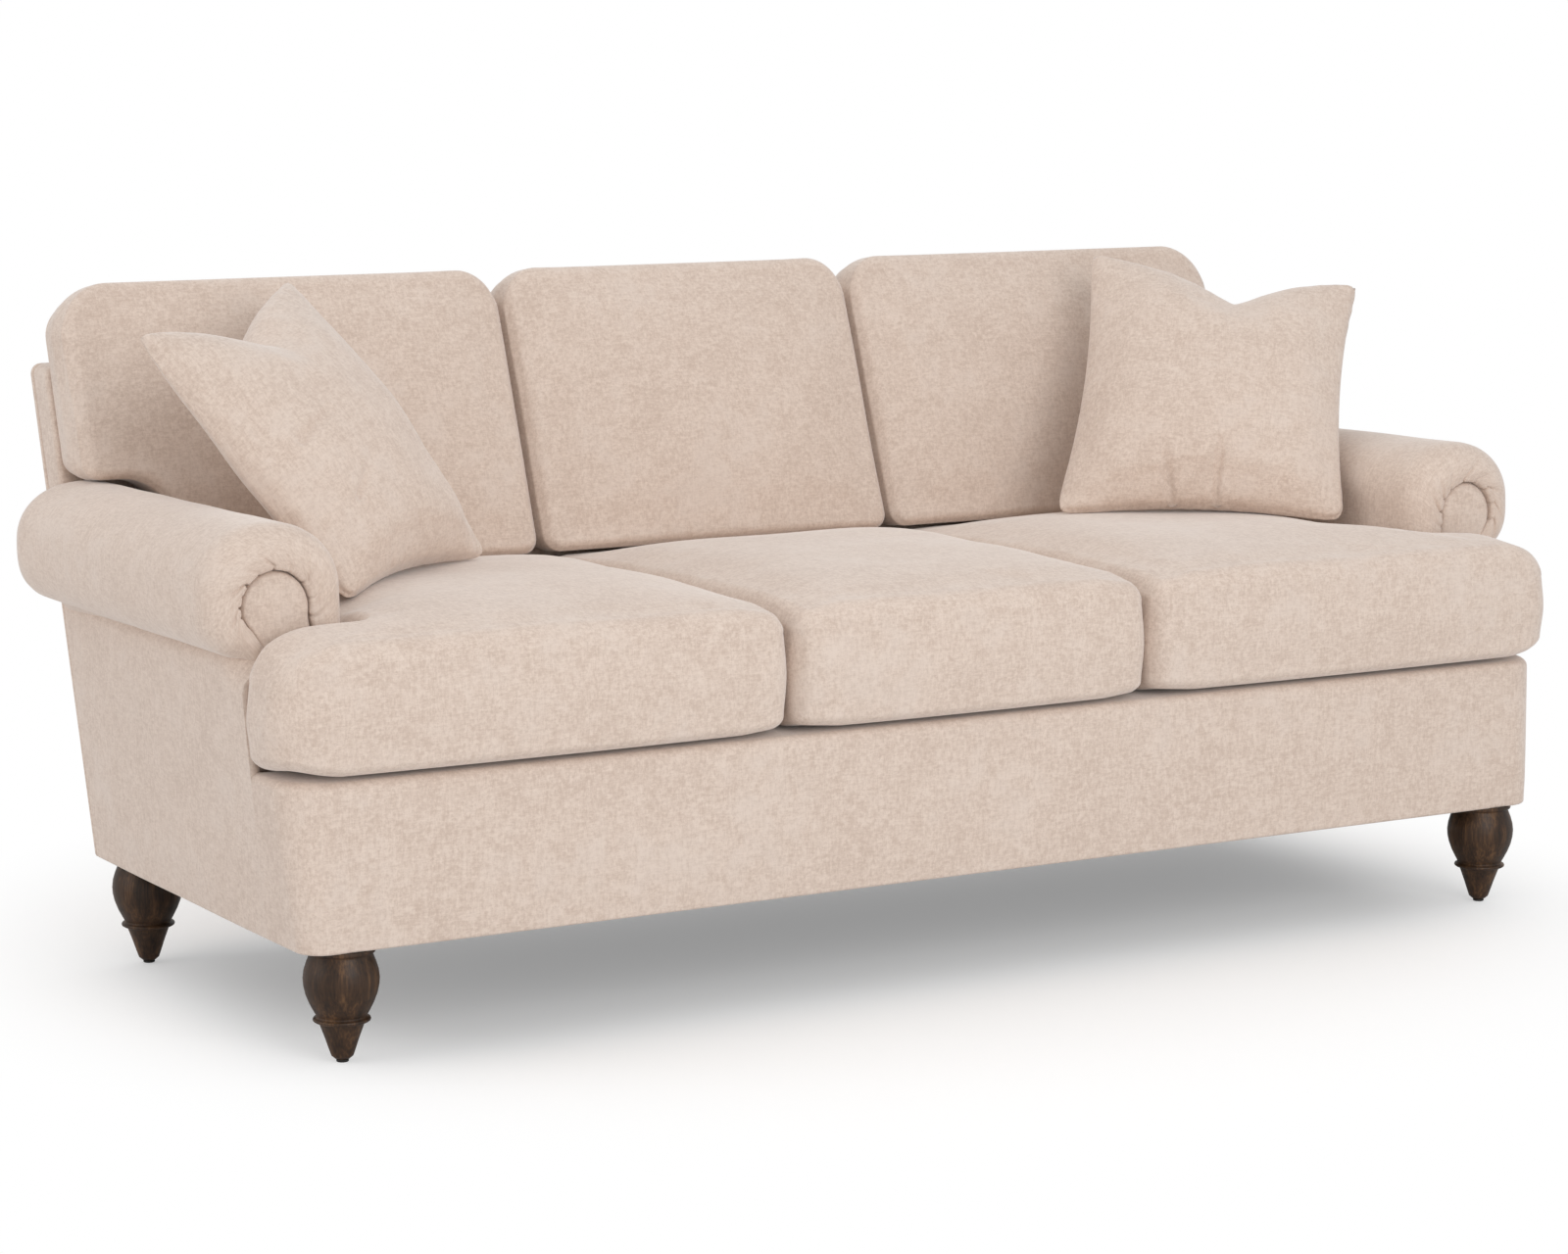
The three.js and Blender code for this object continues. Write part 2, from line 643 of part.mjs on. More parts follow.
function facingOutline(grow) {
  const radius = facingRadius + grow;
  const stemX = facingInnerX - grow;
  const outline = [[stemX, seatBottom - grow], [stemX, facingWaistZ - facingRadius]];
  for (let k = 0; k <= rollSteps; k += 1) {
    const turn = THREE.MathUtils.lerp(facingStart, facingEnd, k / rollSteps);
    outline.push([facingHeadX + Math.cos(turn) * radius, facingHeadZ + Math.sin(turn) * radius]);
  }
  outline.push([facingOuterX + grow, facingWaistZ], [facingOuterX + grow, seatBottom - grow]);
  return outline;
}

function addArms() {
  const { outer, inner } = armOutlines();
  const ringAt = (y, drawnIn) => outer.map(([x, z], i) => {
    const above = THREE.MathUtils.clamp((z - rollCentreZ) / rollRise, 0, 1);
    const droop = rollRearDroop * above * THREE.MathUtils.clamp((y - rollFrontY) / (rollRearY - rollFrontY), 0, 1);
    const height = THREE.MathUtils.lerp(z, inner[i][1], drawnIn) - droop;
    return at(THREE.MathUtils.lerp(x, inner[i][0], drawnIn), y, height);
  });
  const rings = [
    ...rollFrontShares.map(([drawnIn, along]) => ringAt(rollFrontY + along * rollEndLength, drawnIn)),
    ...rollRearShares.map(([drawnIn, along]) => ringAt(rollRearY - along * rollEndLength, drawnIn)),
  ];
  const hub = (y) => at(facingHeadX - armPad, y, facingHeadZ - facingRadius);
  const form = loft(rings, hub(rings[0][0].y), hub(rollRearY));
  const facingY = rollFrontY + facingRecess;
  const facingBack = facingY + facingThickness;
  const plate = (grow, front, back, crown) => {
    const ring = (y) => facingOutline(grow).map(([x, z]) => at(x, y, z));
    return loft([ring(front), ring(back)], hub(front - crown), hub(back));
  };
  const recess = plate(seatGap, rollFrontY - overrun, facingBack + seatGap, 0);
  const pocketFront = facingBack + armPocketWall;
  const pocketTop = armBoardBottom + armBoardThickness;
  const pocketX = [armInner + armPad, rollUnderX + seatGap];
  const pocket = block(pocketX, [pocketFront, rollRearY + overrun], [0, pocketTop]);
  const levels = [backFloor, backTop].map((z) => [z, backHalf + seatGap]);
  const behind = backSlab((z) => frameFrontY(z) - seatGap, (z) => rearY(z) + rollEndLength + overrun, levels);
  const arm = cut(form, recess, pocket, behind);
  const facing = plate(0, facingY, facingBack, facingRecess / 2);
  add('arm_roll_right', arm, fabric);
  add('arm_roll_left', mirrored(arm), fabric);
  add('arm_facing_right', facing, fabric);
  add('arm_facing_left', mirrored(facing), fabric);
}

// Rings up the side of a cushion: rounded at both faces and swelling a little between them
function boxingLayers(rounding, swell, depth) {
  const share = rounding / depth;
  const [drawnIn, below] = edgeBendShares;
  const bend = [rounding * drawnIn, 1 - share * below];
  return [[rounding, 0], [0, share], [-swell, 0.5], [0, 1 - share], bend, [rounding, 1]];
}

function seatTop(x, y, inner, outer, rearOuter) {
  const edge = THREE.MathUtils.mapLinear(y, seatFrontY, crownRearY, seatEdgeFront, seatEdgeRear);
  const widest = THREE.MathUtils.lerp(outer, rearOuter, fade(y, earFadeFrontY, earFadeRearY));
  const crown = seatCrown * bump(x, inner, widest) * bump(y, seatFrontY, crownRearY);
  return Math.max(seatEdgeRear, edge) + crown;
}

// How far an ear's top falls and its underside rises at a point of its plan
function earSoftness(x, y) {
  const along = THREE.MathUtils.clamp((x - earOuterX + earSideReach) / earSideReach, 0, 1);
  const forward = THREE.MathUtils.clamp((seatFrontY + earFrontReach - y) / earFrontReach, 0, 1);
  const side = 1 - Math.sqrt(1 - along * along);
  const corner = along * forward;
  return [earSideDrop * side + earCornerDrop * corner, earSideRise * side + earCornerRise * corner];
}

function seatCushion(corners, centre, inner, outer, rearOuter) {
  const layers = boxingLayers(seatEdgeRounding, seatSideBulge, seatEdgeFront - seatBottom);
  const middle = (inner + outer) / 2;
  const place = (p, share) => {
    const front = THREE.MathUtils.clamp(p.y / seatFrontY, 0, 1);
    const across = Math.abs((p.x - middle) / (outer - middle));
    const bulge = seatFrontBulge * front * Math.max(0, 1 - across ** crownPower);
    const top = seatTop(p.x, p.y, inner, outer, rearOuter);
    const [drop, rise] = earSoftness(p.x, p.y);
    return at(p.x, p.y - bulge, THREE.MathUtils.lerp(seatBottom + rise, top - drop, share));
  };
  return crownedForm(roundedOutline(corners), centre, layers, place);
}

function addSeatCushions() {
  const inner = seatDivide + seatGap + seatSideBulge;
  const outer = armInner - softGap - seatSideBulge;
  const tCushion = seatCushion([
    [inner, seatRearY, smallCornerRadius], [inner, seatFrontY, seatCornerRadius],
    [earOuterX, seatFrontY, earCornerRadius], [earOuterX, earRearY, earCornerRadius],
    [outer, earRearY, smallCornerRadius], [outer, seatRearY, smallCornerRadius],
  ], new THREE.Vector2((inner + outer) / 2, earRearY / 2), inner, earOuterX, outer);
  const half = seatDivide - seatGap - seatSideBulge;
  const middle = seatCushion([
    [-half, seatRearY, smallCornerRadius], [-half, seatFrontY, seatCornerRadius],
    [half, seatFrontY, seatCornerRadius], [half, seatRearY, smallCornerRadius],
  ], new THREE.Vector2(0, earRearY / 2), -half, half, half);
  add('seat_cushion_right', tCushion, fabric);
  add('seat_cushion_left', mirrored(tCushion), fabric);
  add('seat_cushion_centre', middle, fabric);
}

function backCushion(corners, centre, left, right) {
  const outline = roundedOutline(corners);
  const layers = boxingLayers(backEdgeRounding, backSideBulge, backCushionDepthLow);
  const place = (p, share) => {
    const up = THREE.MathUtils.clamp((p.y - backCushionBottom) / backCushionHeight, 0, 1);
    const crown = backCushionCrown * bump(p.x, left, right) * bump(p.y, backCushionBottom, backCushionTop);
    const depth = THREE.MathUtils.lerp(backCushionDepthLow, backCushionDepthTop, up) + crown;
    const z = p.y - topTiltShare * backCushionDepthTop * up ** 3 * (1 - share);
    return at(p.x, frameFrontY(z) - seatGap - depth * share, z);
  };
  return crownedForm(outline, centre, layers, place);
}

function addBackCushions() {
  const inner = backDivide + seatGap + backSideBulge;
  const foot = backCushionBottom + backSideBulge;
  const armSide = armInner - softGap - backSideBulge;
  const outerCushion = backCushion([
    [inner, foot, smallCornerRadius], [armSide, foot, smallCornerRadius],
    [armSide, backEarBottom, smallCornerRadius], [backEarOuterX, backEarBottom, backEarFootRadius],
    [backEarOuterX, backCushionTop, backOuterCornerRadius], [inner, backCushionTop, backCornerRadius],
  ], new THREE.Vector2((inner + armSide) / 2, (backEarBottom + backCushionTop) / 2), inner, backEarOuterX);
  const half = backDivide - seatGap - backSideBulge;
  const middle = backCushion([
    [-half, foot, smallCornerRadius], [half, foot, smallCornerRadius],
    [half, backCushionTop, backCornerRadius], [-half, backCushionTop, backCornerRadius],
  ], new THREE.Vector2(0, (backCushionBottom + backCushionTop) / 2), -half, half);
  add('back_cushion_right', outerCushion, fabric);
  add('back_cushion_left', mirrored(outerCushion), fabric);
  add('back_cushion_centre', middle, fabric);
}

// A knife-edged square pillow with drawn-in sides, pointed corners and a dent in its top edge
function pillowGeometry() {
  const forward = Math.cos(pillowLean);
  const facing = at(-Math.sin(pillowTurn) * forward, -Math.cos(pillowTurn) * forward, Math.sin(pillowLean));
  const level = at(Math.cos(pillowTurn), -Math.sin(pillowTurn), 0);
  const up = facing.clone().cross(level);
  const across = level.clone().applyAxisAngle(facing, pillowRoll);
  const upward = up.clone().applyAxisAngle(facing, pillowRoll);
  const [footX, footY] = [armInner - pillowFootFromArm, rearFootY - pillowFootFromRear];
  const foot = at(footX, footY, seatEdgeFront + pillowFootRise);
  const place = (u, v, side) => {
    const x = u * (pillowWidth / 2 - pillowPull * (1 - v * v));
    const dent = v > 0 ? pillowDent * v * v * Math.exp(-((u / pillowDentShare) ** 2)) : 0;
    const y = v * (pillowHeight / 2 - pillowPull * (1 - u * u)) - dent;
    const fullness = Math.sqrt(Math.max(0, (1 - u * u) * (1 - v * v)));
    const depth = side * (pillowSeam / 2 + (pillowThickness / 2) * fullness);
    const flat = foot.clone().addScaledVector(across, x).addScaledVector(upward, y + pillowHeight / 2);
    return flat.addScaledVector(facing, depth);
  };
  const square = [];
  const quarter = [[-1, -1, 1, 0], [1, -1, 0, 1], [1, 1, -1, 0], [-1, 1, 0, -1]];
  for (const [u, v, du, dv] of quarter) {
    for (let k = 0; k < pillowCells; k += 1) {
      const along = (2 * k) / pillowCells;
      square.push([u + du * along, v + dv * along]);
    }
  }
  const ring = (share, side) => square.map(([u, v]) => place(u * share, v * share, side));
  const rings = pillowRingShares.map((share) => ring(share, -1));
  rings.push(...pillowRingShares.toReversed().map((share) => ring(share, 1)));
  return loft(rings, place(0, 0, -1), place(0, 0, 1));
}

function addPillows() {
  const right = pillowGeometry();
  add('throw_pillow_right', right, fabric);
  add('throw_pillow_left', mirrored(right), fabric);
}

addLegs();
addFrame();
addSuspension();
addBorder();
addOutsidePanels();
addBack();
addArms();
addSeatCushions();
addBackCushions();
addPillows();

const floorBox = new THREE.Box3().setFromObject(sofa);
const middle = floorBox.getCenter(new THREE.Vector3());
sofa.position.set(-middle.x, -middle.y, -floorBox.min.z);

export default sofa;
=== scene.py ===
import bpy
import numpy as np
from mathutils import Euler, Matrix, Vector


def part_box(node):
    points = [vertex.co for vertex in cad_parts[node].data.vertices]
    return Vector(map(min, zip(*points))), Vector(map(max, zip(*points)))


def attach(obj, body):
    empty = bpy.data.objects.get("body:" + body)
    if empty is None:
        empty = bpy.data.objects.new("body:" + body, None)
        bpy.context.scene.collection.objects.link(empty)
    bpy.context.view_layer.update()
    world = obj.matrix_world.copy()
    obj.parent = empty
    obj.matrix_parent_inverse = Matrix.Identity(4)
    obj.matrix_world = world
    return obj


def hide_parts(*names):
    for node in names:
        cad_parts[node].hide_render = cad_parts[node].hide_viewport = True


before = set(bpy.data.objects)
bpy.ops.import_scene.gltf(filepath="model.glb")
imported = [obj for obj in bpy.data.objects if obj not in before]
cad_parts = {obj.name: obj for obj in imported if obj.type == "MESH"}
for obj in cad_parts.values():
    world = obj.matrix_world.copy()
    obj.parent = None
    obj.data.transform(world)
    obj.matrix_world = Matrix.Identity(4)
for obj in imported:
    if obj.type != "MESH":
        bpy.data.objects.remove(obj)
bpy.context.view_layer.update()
print("frame loaded,", len(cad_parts), "solids")

# Everything is written in millimetres, with Y = 0 on the line of the front legs, and goes to metres here.
legLow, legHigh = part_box("leg_front_left")
frontLegY = (legLow.y + legHigh.y) / 2
mm = 0.001
bothSides = (("left", -1), ("right", 1))


# Millimetres to metres, moved back by where the front legs stand
def toSofa(points):
    return np.asarray(points, float) * mm + np.array([0.0, frontLegY, 0.0])


# Shader nodes


class Wire:  # a socket that can stand in a Python expression
    def __init__(self, made, socket):
        self.made, self.socket = made, socket

    def maths(self, operation, other):
        return self.made.node("ShaderNodeMath", {"operation": operation}, {0: self, 1: other})

    def __add__(self, other):
        return self.maths("ADD", other)

    def __mul__(self, other):
        return self.maths("MULTIPLY", other)

    __radd__ = __add__
    __rmul__ = __mul__


class Finish:  # a material, or the world, under construction
    def __init__(self, owner):
        self.owner = owner
        owner.use_nodes = True
        self.tree = owner.node_tree
        self.tree.nodes.clear()

    # One node: its type, its settings, set first, and the values or wires of its sockets
    def node(self, kind, settings=None, sockets=None, output=0):
        made = self.tree.nodes.new(kind)
        for key, value in (settings or {}).items():
            if key == "stops":
                self.fillRamp(made.color_ramp, value)
            else:
                setattr(made, key, value)
        for key, value in (sockets or {}).items():
            if isinstance(value, Wire):
                self.tree.links.new(value.socket, made.inputs[key])
            else:
                made.inputs[key].default_value = value
        return Wire(self, made.outputs[output]) if len(made.outputs) else None

    def fillRamp(self, ramp, stops):
        while len(ramp.elements) > 1:
            ramp.elements.remove(ramp.elements[-1])
        ramp.elements[0].position = stops[0][0]
        ramp.elements[0].color = stops[0][1]
        for position, colour in stops[1:]:
            ramp.elements.new(position).color = colour

    def objectPlace(self):
        return self.node("ShaderNodeTexCoord", output=3)

    def stretched(self, vector, by):
        return self.node("ShaderNodeVectorMath", {"operation": "MULTIPLY"}, {0: vector, 1: by})

    def noise(self, vector, scale=1.0, detail=2.0, roughness=0.5):
        sockets = {"Vector": vector, "Scale": scale, "Detail": detail, "Roughness": roughness}
        return self.node("ShaderNodeTexNoise", {"noise_dimensions": "3D"}, sockets)

    # Smooth step of a value from low to high
    def between(self, value, low, high):
        settings = {"interpolation_type": "SMOOTHSTEP"}
        return self.node("ShaderNodeMapRange", settings, {"Value": value, "From Min": low, "From Max": high})

    def blended(self, factor, first, second):
        sockets = {"Factor": factor, "A": first, "B": second}
        return self.node("ShaderNodeMix", {"data_type": "RGBA"}, sockets, output=2)

    def bump(self, height, strength, depth):
        return self.node("ShaderNodeBump", None, {"Strength": strength, "Distance": depth, "Height": height})

    def mixed(self, factor, first, second):
        return self.node("ShaderNodeMixShader", None, {0: factor, 1: first, 2: second})

    def done(self, surface, output="ShaderNodeOutputMaterial"):
        self.node(output, None, {"Surface": surface})
        return self.owner

    def principled(self, sockets):
        return self.done(self.node("ShaderNodeBsdfPrincipled", None, sockets))


# Levels of 255 as the linear colour that the shaders read
def linear(red, green, blue):
    c = np.array([red, green, blue]) / 255
    c = np.where(c <= 0.04045, c / 12.92, ((c + 0.055) / 1.055) ** 2.4)
    return (*[float(v) for v in c], 1.0)


fabricLook = {
    "light": (226, 209, 196), "dark": (203, 183, 169), "worn": (218, 204, 194),
    "thread": (640, 110), "slub": (230, 60), "speckle": 150, "weaveMix": (0.12, 0.15, 0.2),  # how much of each
    "cloud": 30, "patch": 7, "toneMix": (0.84, 0.09, 0.07), "toneRange": (0.41, 0.59),  # weave, cloud and patch
    "wornMix": (0.6, 0.4), "wornRange": (0.5, 0.68), "wornShare": 0.3,  # patch and cloud
    "bump": 0.3, "bumpDepth": 0.0006, "roughness": 0.95, "sheen": 0.55, "sheenRoughness": 0.42, "gloss": 0.2,
}


# Soft brushed weave: noise drawn out along each axis gives faint threads and thicker slubs on any face, with a fine
# speckle between them and slow clouds where the pile lies differently
def fabricMaterial(name, look):
    f = Finish(bpy.data.materials.new(name))
    where = f.node("ShaderNodeAttribute", {"attribute_name": "weave"}, output=1)

    def fibres(across, along, detail):
        ways = ((along, across, across), (across, along, across), (across, across, along))
        first, second, third = (f.noise(f.stretched(where, by), detail=detail) for by in ways)
        return first + second + third

    byThread, bySlub, bySpeckle = look["weaveMix"]
    byWeave, byCloud, byPatch = look["toneMix"]
    wornPatch, wornCloud = look["wornMix"]
    speckle = f.noise(where, look["speckle"], 4.0, 0.68)
    weave = fibres(*look["thread"], 1.0) * byThread + fibres(*look["slub"], 3.0) * bySlub + speckle * bySpeckle
    cloud = f.noise(where, look["cloud"], 3.0, 0.55)
    patch = f.noise(where, look["patch"], 2.0, 0.5)
    tone = weave * byWeave + cloud * byCloud + patch * byPatch
    colour = f.blended(f.between(tone, *look["toneRange"]), linear(*look["dark"]), linear(*look["light"]))
    worn = f.between(patch * wornPatch + cloud * wornCloud, *look["wornRange"]) * look["wornShare"]
    return f.principled({
        "Base Color": f.blended(worn, colour, linear(*look["worn"])), "Roughness": look["roughness"],
        "Normal": f.bump(weave, look["bump"], look["bumpDepth"]), "Sheen Weight": look["sheen"],
        "Sheen Roughness": look["sheenRoughness"], "Specular IOR Level": look["gloss"]})


walnutLook = {"dark": (34, 21, 11), "mid": (64, 43, 26), "light": (104, 74, 47), "roughness": 0.46}
plankLook = {"dark": (168, 134, 92), "mid": (197, 164, 118), "light": (216, 188, 146), "roughness": 0.7}
grainShape = {  # noise scale across and along the grain, how much of each, and where the three tones stand
    "figure": (60.0, 5.0), "pores": (420.0, 16.0), "mix": (0.62, 0.38), "stops": (0.36, 0.52, 0.68),
}


# Straight grain: noise drawn out along the grain's axis, with fine pores over it
def woodMaterial(name, look, alongAxis, coat):
    f = Finish(bpy.data.materials.new(name))
    where = f.objectPlace()
    (broad, broadAlong), (fine, fineAlong) = grainShape["figure"], grainShape["pores"]
    byFigure, byPores = grainShape["mix"]
    figure = f.noise(f.stretched(where, [broadAlong if i == alongAxis else broad for i in range(3)]), 1.0, 4.0, 0.6)
    pores = f.noise(f.stretched(where, [fineAlong if i == alongAxis else fine for i in range(3)]))
    tones = [linear(*look[key]) for key in ("dark", "mid", "light")]
    stops = {"stops": list(zip(grainShape["stops"], tones))}
    return f.principled({
        "Base Color": f.node("ShaderNodeValToRGB", stops, {"Fac": figure * byFigure + pores * byPores}),
        "Roughness": pores * 0.12 + look["roughness"], "Normal": f.bump(pores, 0.15, 0.0004), "Coat Weight": coat,
        "Coat Roughness": 0.3, "Specular IOR Level": 0.3})


# Metal, nylon and plain cloth: one colour with fine variation and a slight bump
def plainMaterial(name, colour, grain, roughness, metallic=0.0):
    f = Finish(bpy.data.materials.new(name))
    speckle = f.noise(f.objectPlace(), grain, 3.0, 0.6)
    darker = [c * 0.78 for c in colour]
    return f.principled({
        "Base Color": f.blended(f.between(speckle, 0.35, 0.65), linear(*darker), linear(*colour)),
        "Roughness": speckle * 0.2 + roughness, "Metallic": metallic, "Normal": f.bump(speckle, 0.2, 0.0003)})


upholstery = fabricMaterial("upholstery", fabricLook)
walnut = woodMaterial("walnut", walnutLook, 2, 0.14)
planks = [woodMaterial(f"hardwood_{axis}", plankLook, i, 0.0) for i, axis in enumerate("xyz")]
wire = plainMaterial("spring_wire", (150, 153, 158), 300, 0.28, 1.0)
nylon = plainMaterial("nylon", (44, 40, 37), 400, 0.5)
dustCloth = plainMaterial("dust_cloth", (52, 50, 48), 900, 0.85)
felt = plainMaterial("deck_felt", (196, 186, 172), 260, 0.85)
print("materials ready")


# Meshes: a surface is its points, its quads and its triangles

noFans = np.zeros((0, 3), int)


# Grids and single points as one list of points
def stacked(*points):
    return np.concatenate([np.asarray(p, float).reshape(-1, 3) for p in points])


# From 0 at low to 1 at high, as three times the square less twice the cube of the share
def smoothStep(x, low, high):
    t = np.clip((x - low) / (high - low), 0, 1)
    return t * t * (3 - 2 * t)


# Straight from a to b by share
def lerp(a, b, share):
    return a + (b - a) * share


# Even steps on a straight line, up to but without its end
def straightTo(start, end, count):
    return lerp(np.array(start, float), np.array(end, float), np.linspace(0, 1, count, endpoint=False)[:, None])


# How far along a line each of its points lies: the running sum of the distances between neighbours
def lengthAlong(line):
    return np.concatenate([[0], np.cumsum(np.linalg.norm(np.diff(line, axis=0), axis=1))])


# A quarter of a circle in even steps: what falls from 1 to 0 as one less the sine, and rises as one less the cosine
def quarterTurn(count):
    turn = np.linspace(0, np.pi / 2, count)
    return 1 - np.sin(turn), 1 - np.cos(turn)


# Points of a plan at one height, and points of a front view at one distance back
def atHeight(plan, z):
    return np.column_stack([plan, np.full(len(plan), z)])


def atDepth(view, y):
    return atHeight(view, y)[:, [0, 2, 1]]


# Quads between neighbouring rows of a grid of point numbers
def quadsOf(numbers):
    a, b = numbers[:-1, :-1], numbers[:-1, 1:]
    c, d = numbers[1:, 1:], numbers[1:, :-1]
    return np.stack([a, b, c, d], axis=-1).reshape(-1, 4)


# Closed rings, one after another, with both ends drawn to a pole
def ringedSurface(rings, firstPole, lastPole):
    rows, count = rings.shape[:2]
    numbers = np.arange(rows * count).reshape(rows, count)
    quads = quadsOf(np.concatenate([numbers, numbers[:, :1]], axis=1))
    fans = []
    for row, pole in ((numbers[0], rows * count), (numbers[-1][::-1], rows * count + 1)):
        fans.append(np.stack([np.roll(row, -1), row, np.full(count, pole)], axis=-1))
    return stacked(rings, firstPole, lastPole), quads, np.concatenate(fans)


# A closed panel from a grid of points on its face and the same grid on its back, joined round the rim
def panelFrom(face, back):
    rows, cols = face.shape[:2]
    numbers = np.arange(rows * cols).reshape(rows, cols)
    behind = numbers + rows * cols
    rim = np.concatenate([numbers[0, :-1], numbers[:-1, -1], numbers[-1, :0:-1], numbers[:0:-1, 0]])
    ring = np.stack([np.append(rim, rim[0]), np.append(rim, rim[0]) + rows * cols])
    quads = np.concatenate([quadsOf(numbers), quadsOf(behind)[:, ::-1], quadsOf(ring)[:, ::-1]])
    return stacked(face, back), quads, noFans


# A block between two x and two heights, whose front and back are each one y, or one at its foot and one at its top
def slab(xs, fronts, backs, heights):
    corners = [(x, y, z) for x in xs for ys in (fronts, backs) for y, z in zip(np.broadcast_to(ys, 2), heights)]
    faces = [[0, 1, 3, 2], [4, 6, 7, 5], [0, 4, 5, 1], [2, 3, 7, 6], [0, 2, 6, 4], [1, 5, 7, 3]]
    return np.array(corners, float), np.array(faces), noFans


# Six times the volume inside: the sum over the triangles of each face fan
def signedVolume(points, quads, fans):
    halves = np.concatenate([quads[:, :3], quads[:, [0, 2, 3]], fans])
    a, b, c = (points[halves[:, k]] for k in range(3))
    return np.einsum("ij,ij->i", a, np.cross(b, c)).sum()


# A mesh from a surface, on the other side of the sofa where side is -1, with its weave on its own or given places
def meshFrom(name, surface, side=1, weave=None):
    points, quads, fans = surface
    points = points * np.array([side, 1.0, 1.0])
    if signedVolume(points, quads, fans) < 0:
        quads, fans = quads[:, ::-1], fans[:, ::-1]
    mesh = bpy.data.meshes.new(name)
    mesh.vertices.add(len(points))
    mesh.vertices.foreach_set("co", toSofa(points).ravel())
    mesh.loops.add(quads.size + fans.size)
    mesh.loops.foreach_set("vertex_index", np.concatenate([quads.ravel(), fans.ravel()]).astype(np.int32))
    sizes = np.concatenate([np.full(len(quads), 4), np.full(len(fans), 3)])
    mesh.polygons.add(len(sizes))
    mesh.polygons.foreach_set("loop_start", np.concatenate([[0], np.cumsum(sizes)[:-1]]).astype(np.int32))
    mesh.polygons.foreach_set("loop_total", sizes.astype(np.int32))
    mesh.update(calc_edges=True)
    mesh.polygons.foreach_set("use_smooth", np.ones(len(sizes), bool))
    setWeave(mesh, np.asarray(points if weave is None else weave, float) * mm)
    return mesh


def setWeave(mesh, places):
    weave = mesh.attributes.get("weave") or mesh.attributes.new("weave", "FLOAT_VECTOR", "POINT")
    weave.data.foreach_set("vector", places.ravel())


def newObject(name, data):
    made = bpy.data.objects.new(name, data)
    bpy.context.scene.collection.objects.link(made)
    return made


def giveMaterial(mesh, material):  # in place of what it had
    mesh.materials.clear()
    mesh.materials.append(material)


def addPiece(name, mesh, material, replaced, body="sofa_frame"):
    piece = newObject(name, mesh)
    giveMaterial(mesh, material)
    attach(piece, body)
    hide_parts(replaced)
    return piece


def addPadded(name, surface, replaced, side=1, body="sofa_frame", weave=None):
    mesh = meshFrom(name, surface, side, weave)
    return addPiece(name, mesh, upholstery, replaced, body)


# Places or normals of a mesh's points as rows of three
def vertexArray(mesh, what):
    values = np.zeros(len(mesh.vertices) * 3)
    mesh.vertices.foreach_get(what, values)
    return values.reshape(-1, 3)


def evaluated(piece):
    return piece.evaluated_get(bpy.context.evaluated_depsgraph_get())


# Difference of a surface and some blocks, by the exact boolean
def carved(name, surface, blocks):
    piece = newObject(name, meshFrom(name, surface))
    tools = [newObject("tool", meshFrom("tool", block)) for block in blocks]
    for tool in tools:
        cut = piece.modifiers.new("cut", "BOOLEAN")
        cut.operation, cut.solver, cut.object = "DIFFERENCE", "EXACT", tool
    bpy.context.view_layer.update()
    result = bpy.data.meshes.new_from_object(evaluated(piece))
    for thing in [piece, *tools]:
        bpy.data.objects.remove(thing)
    setWeave(result, vertexArray(result, "co"))
    return result


clothStyle = {"voxel": 0.014, "frames": 20, "mass": 0.3, "bending": 0.6, "air": 1.5, "steps": 5}


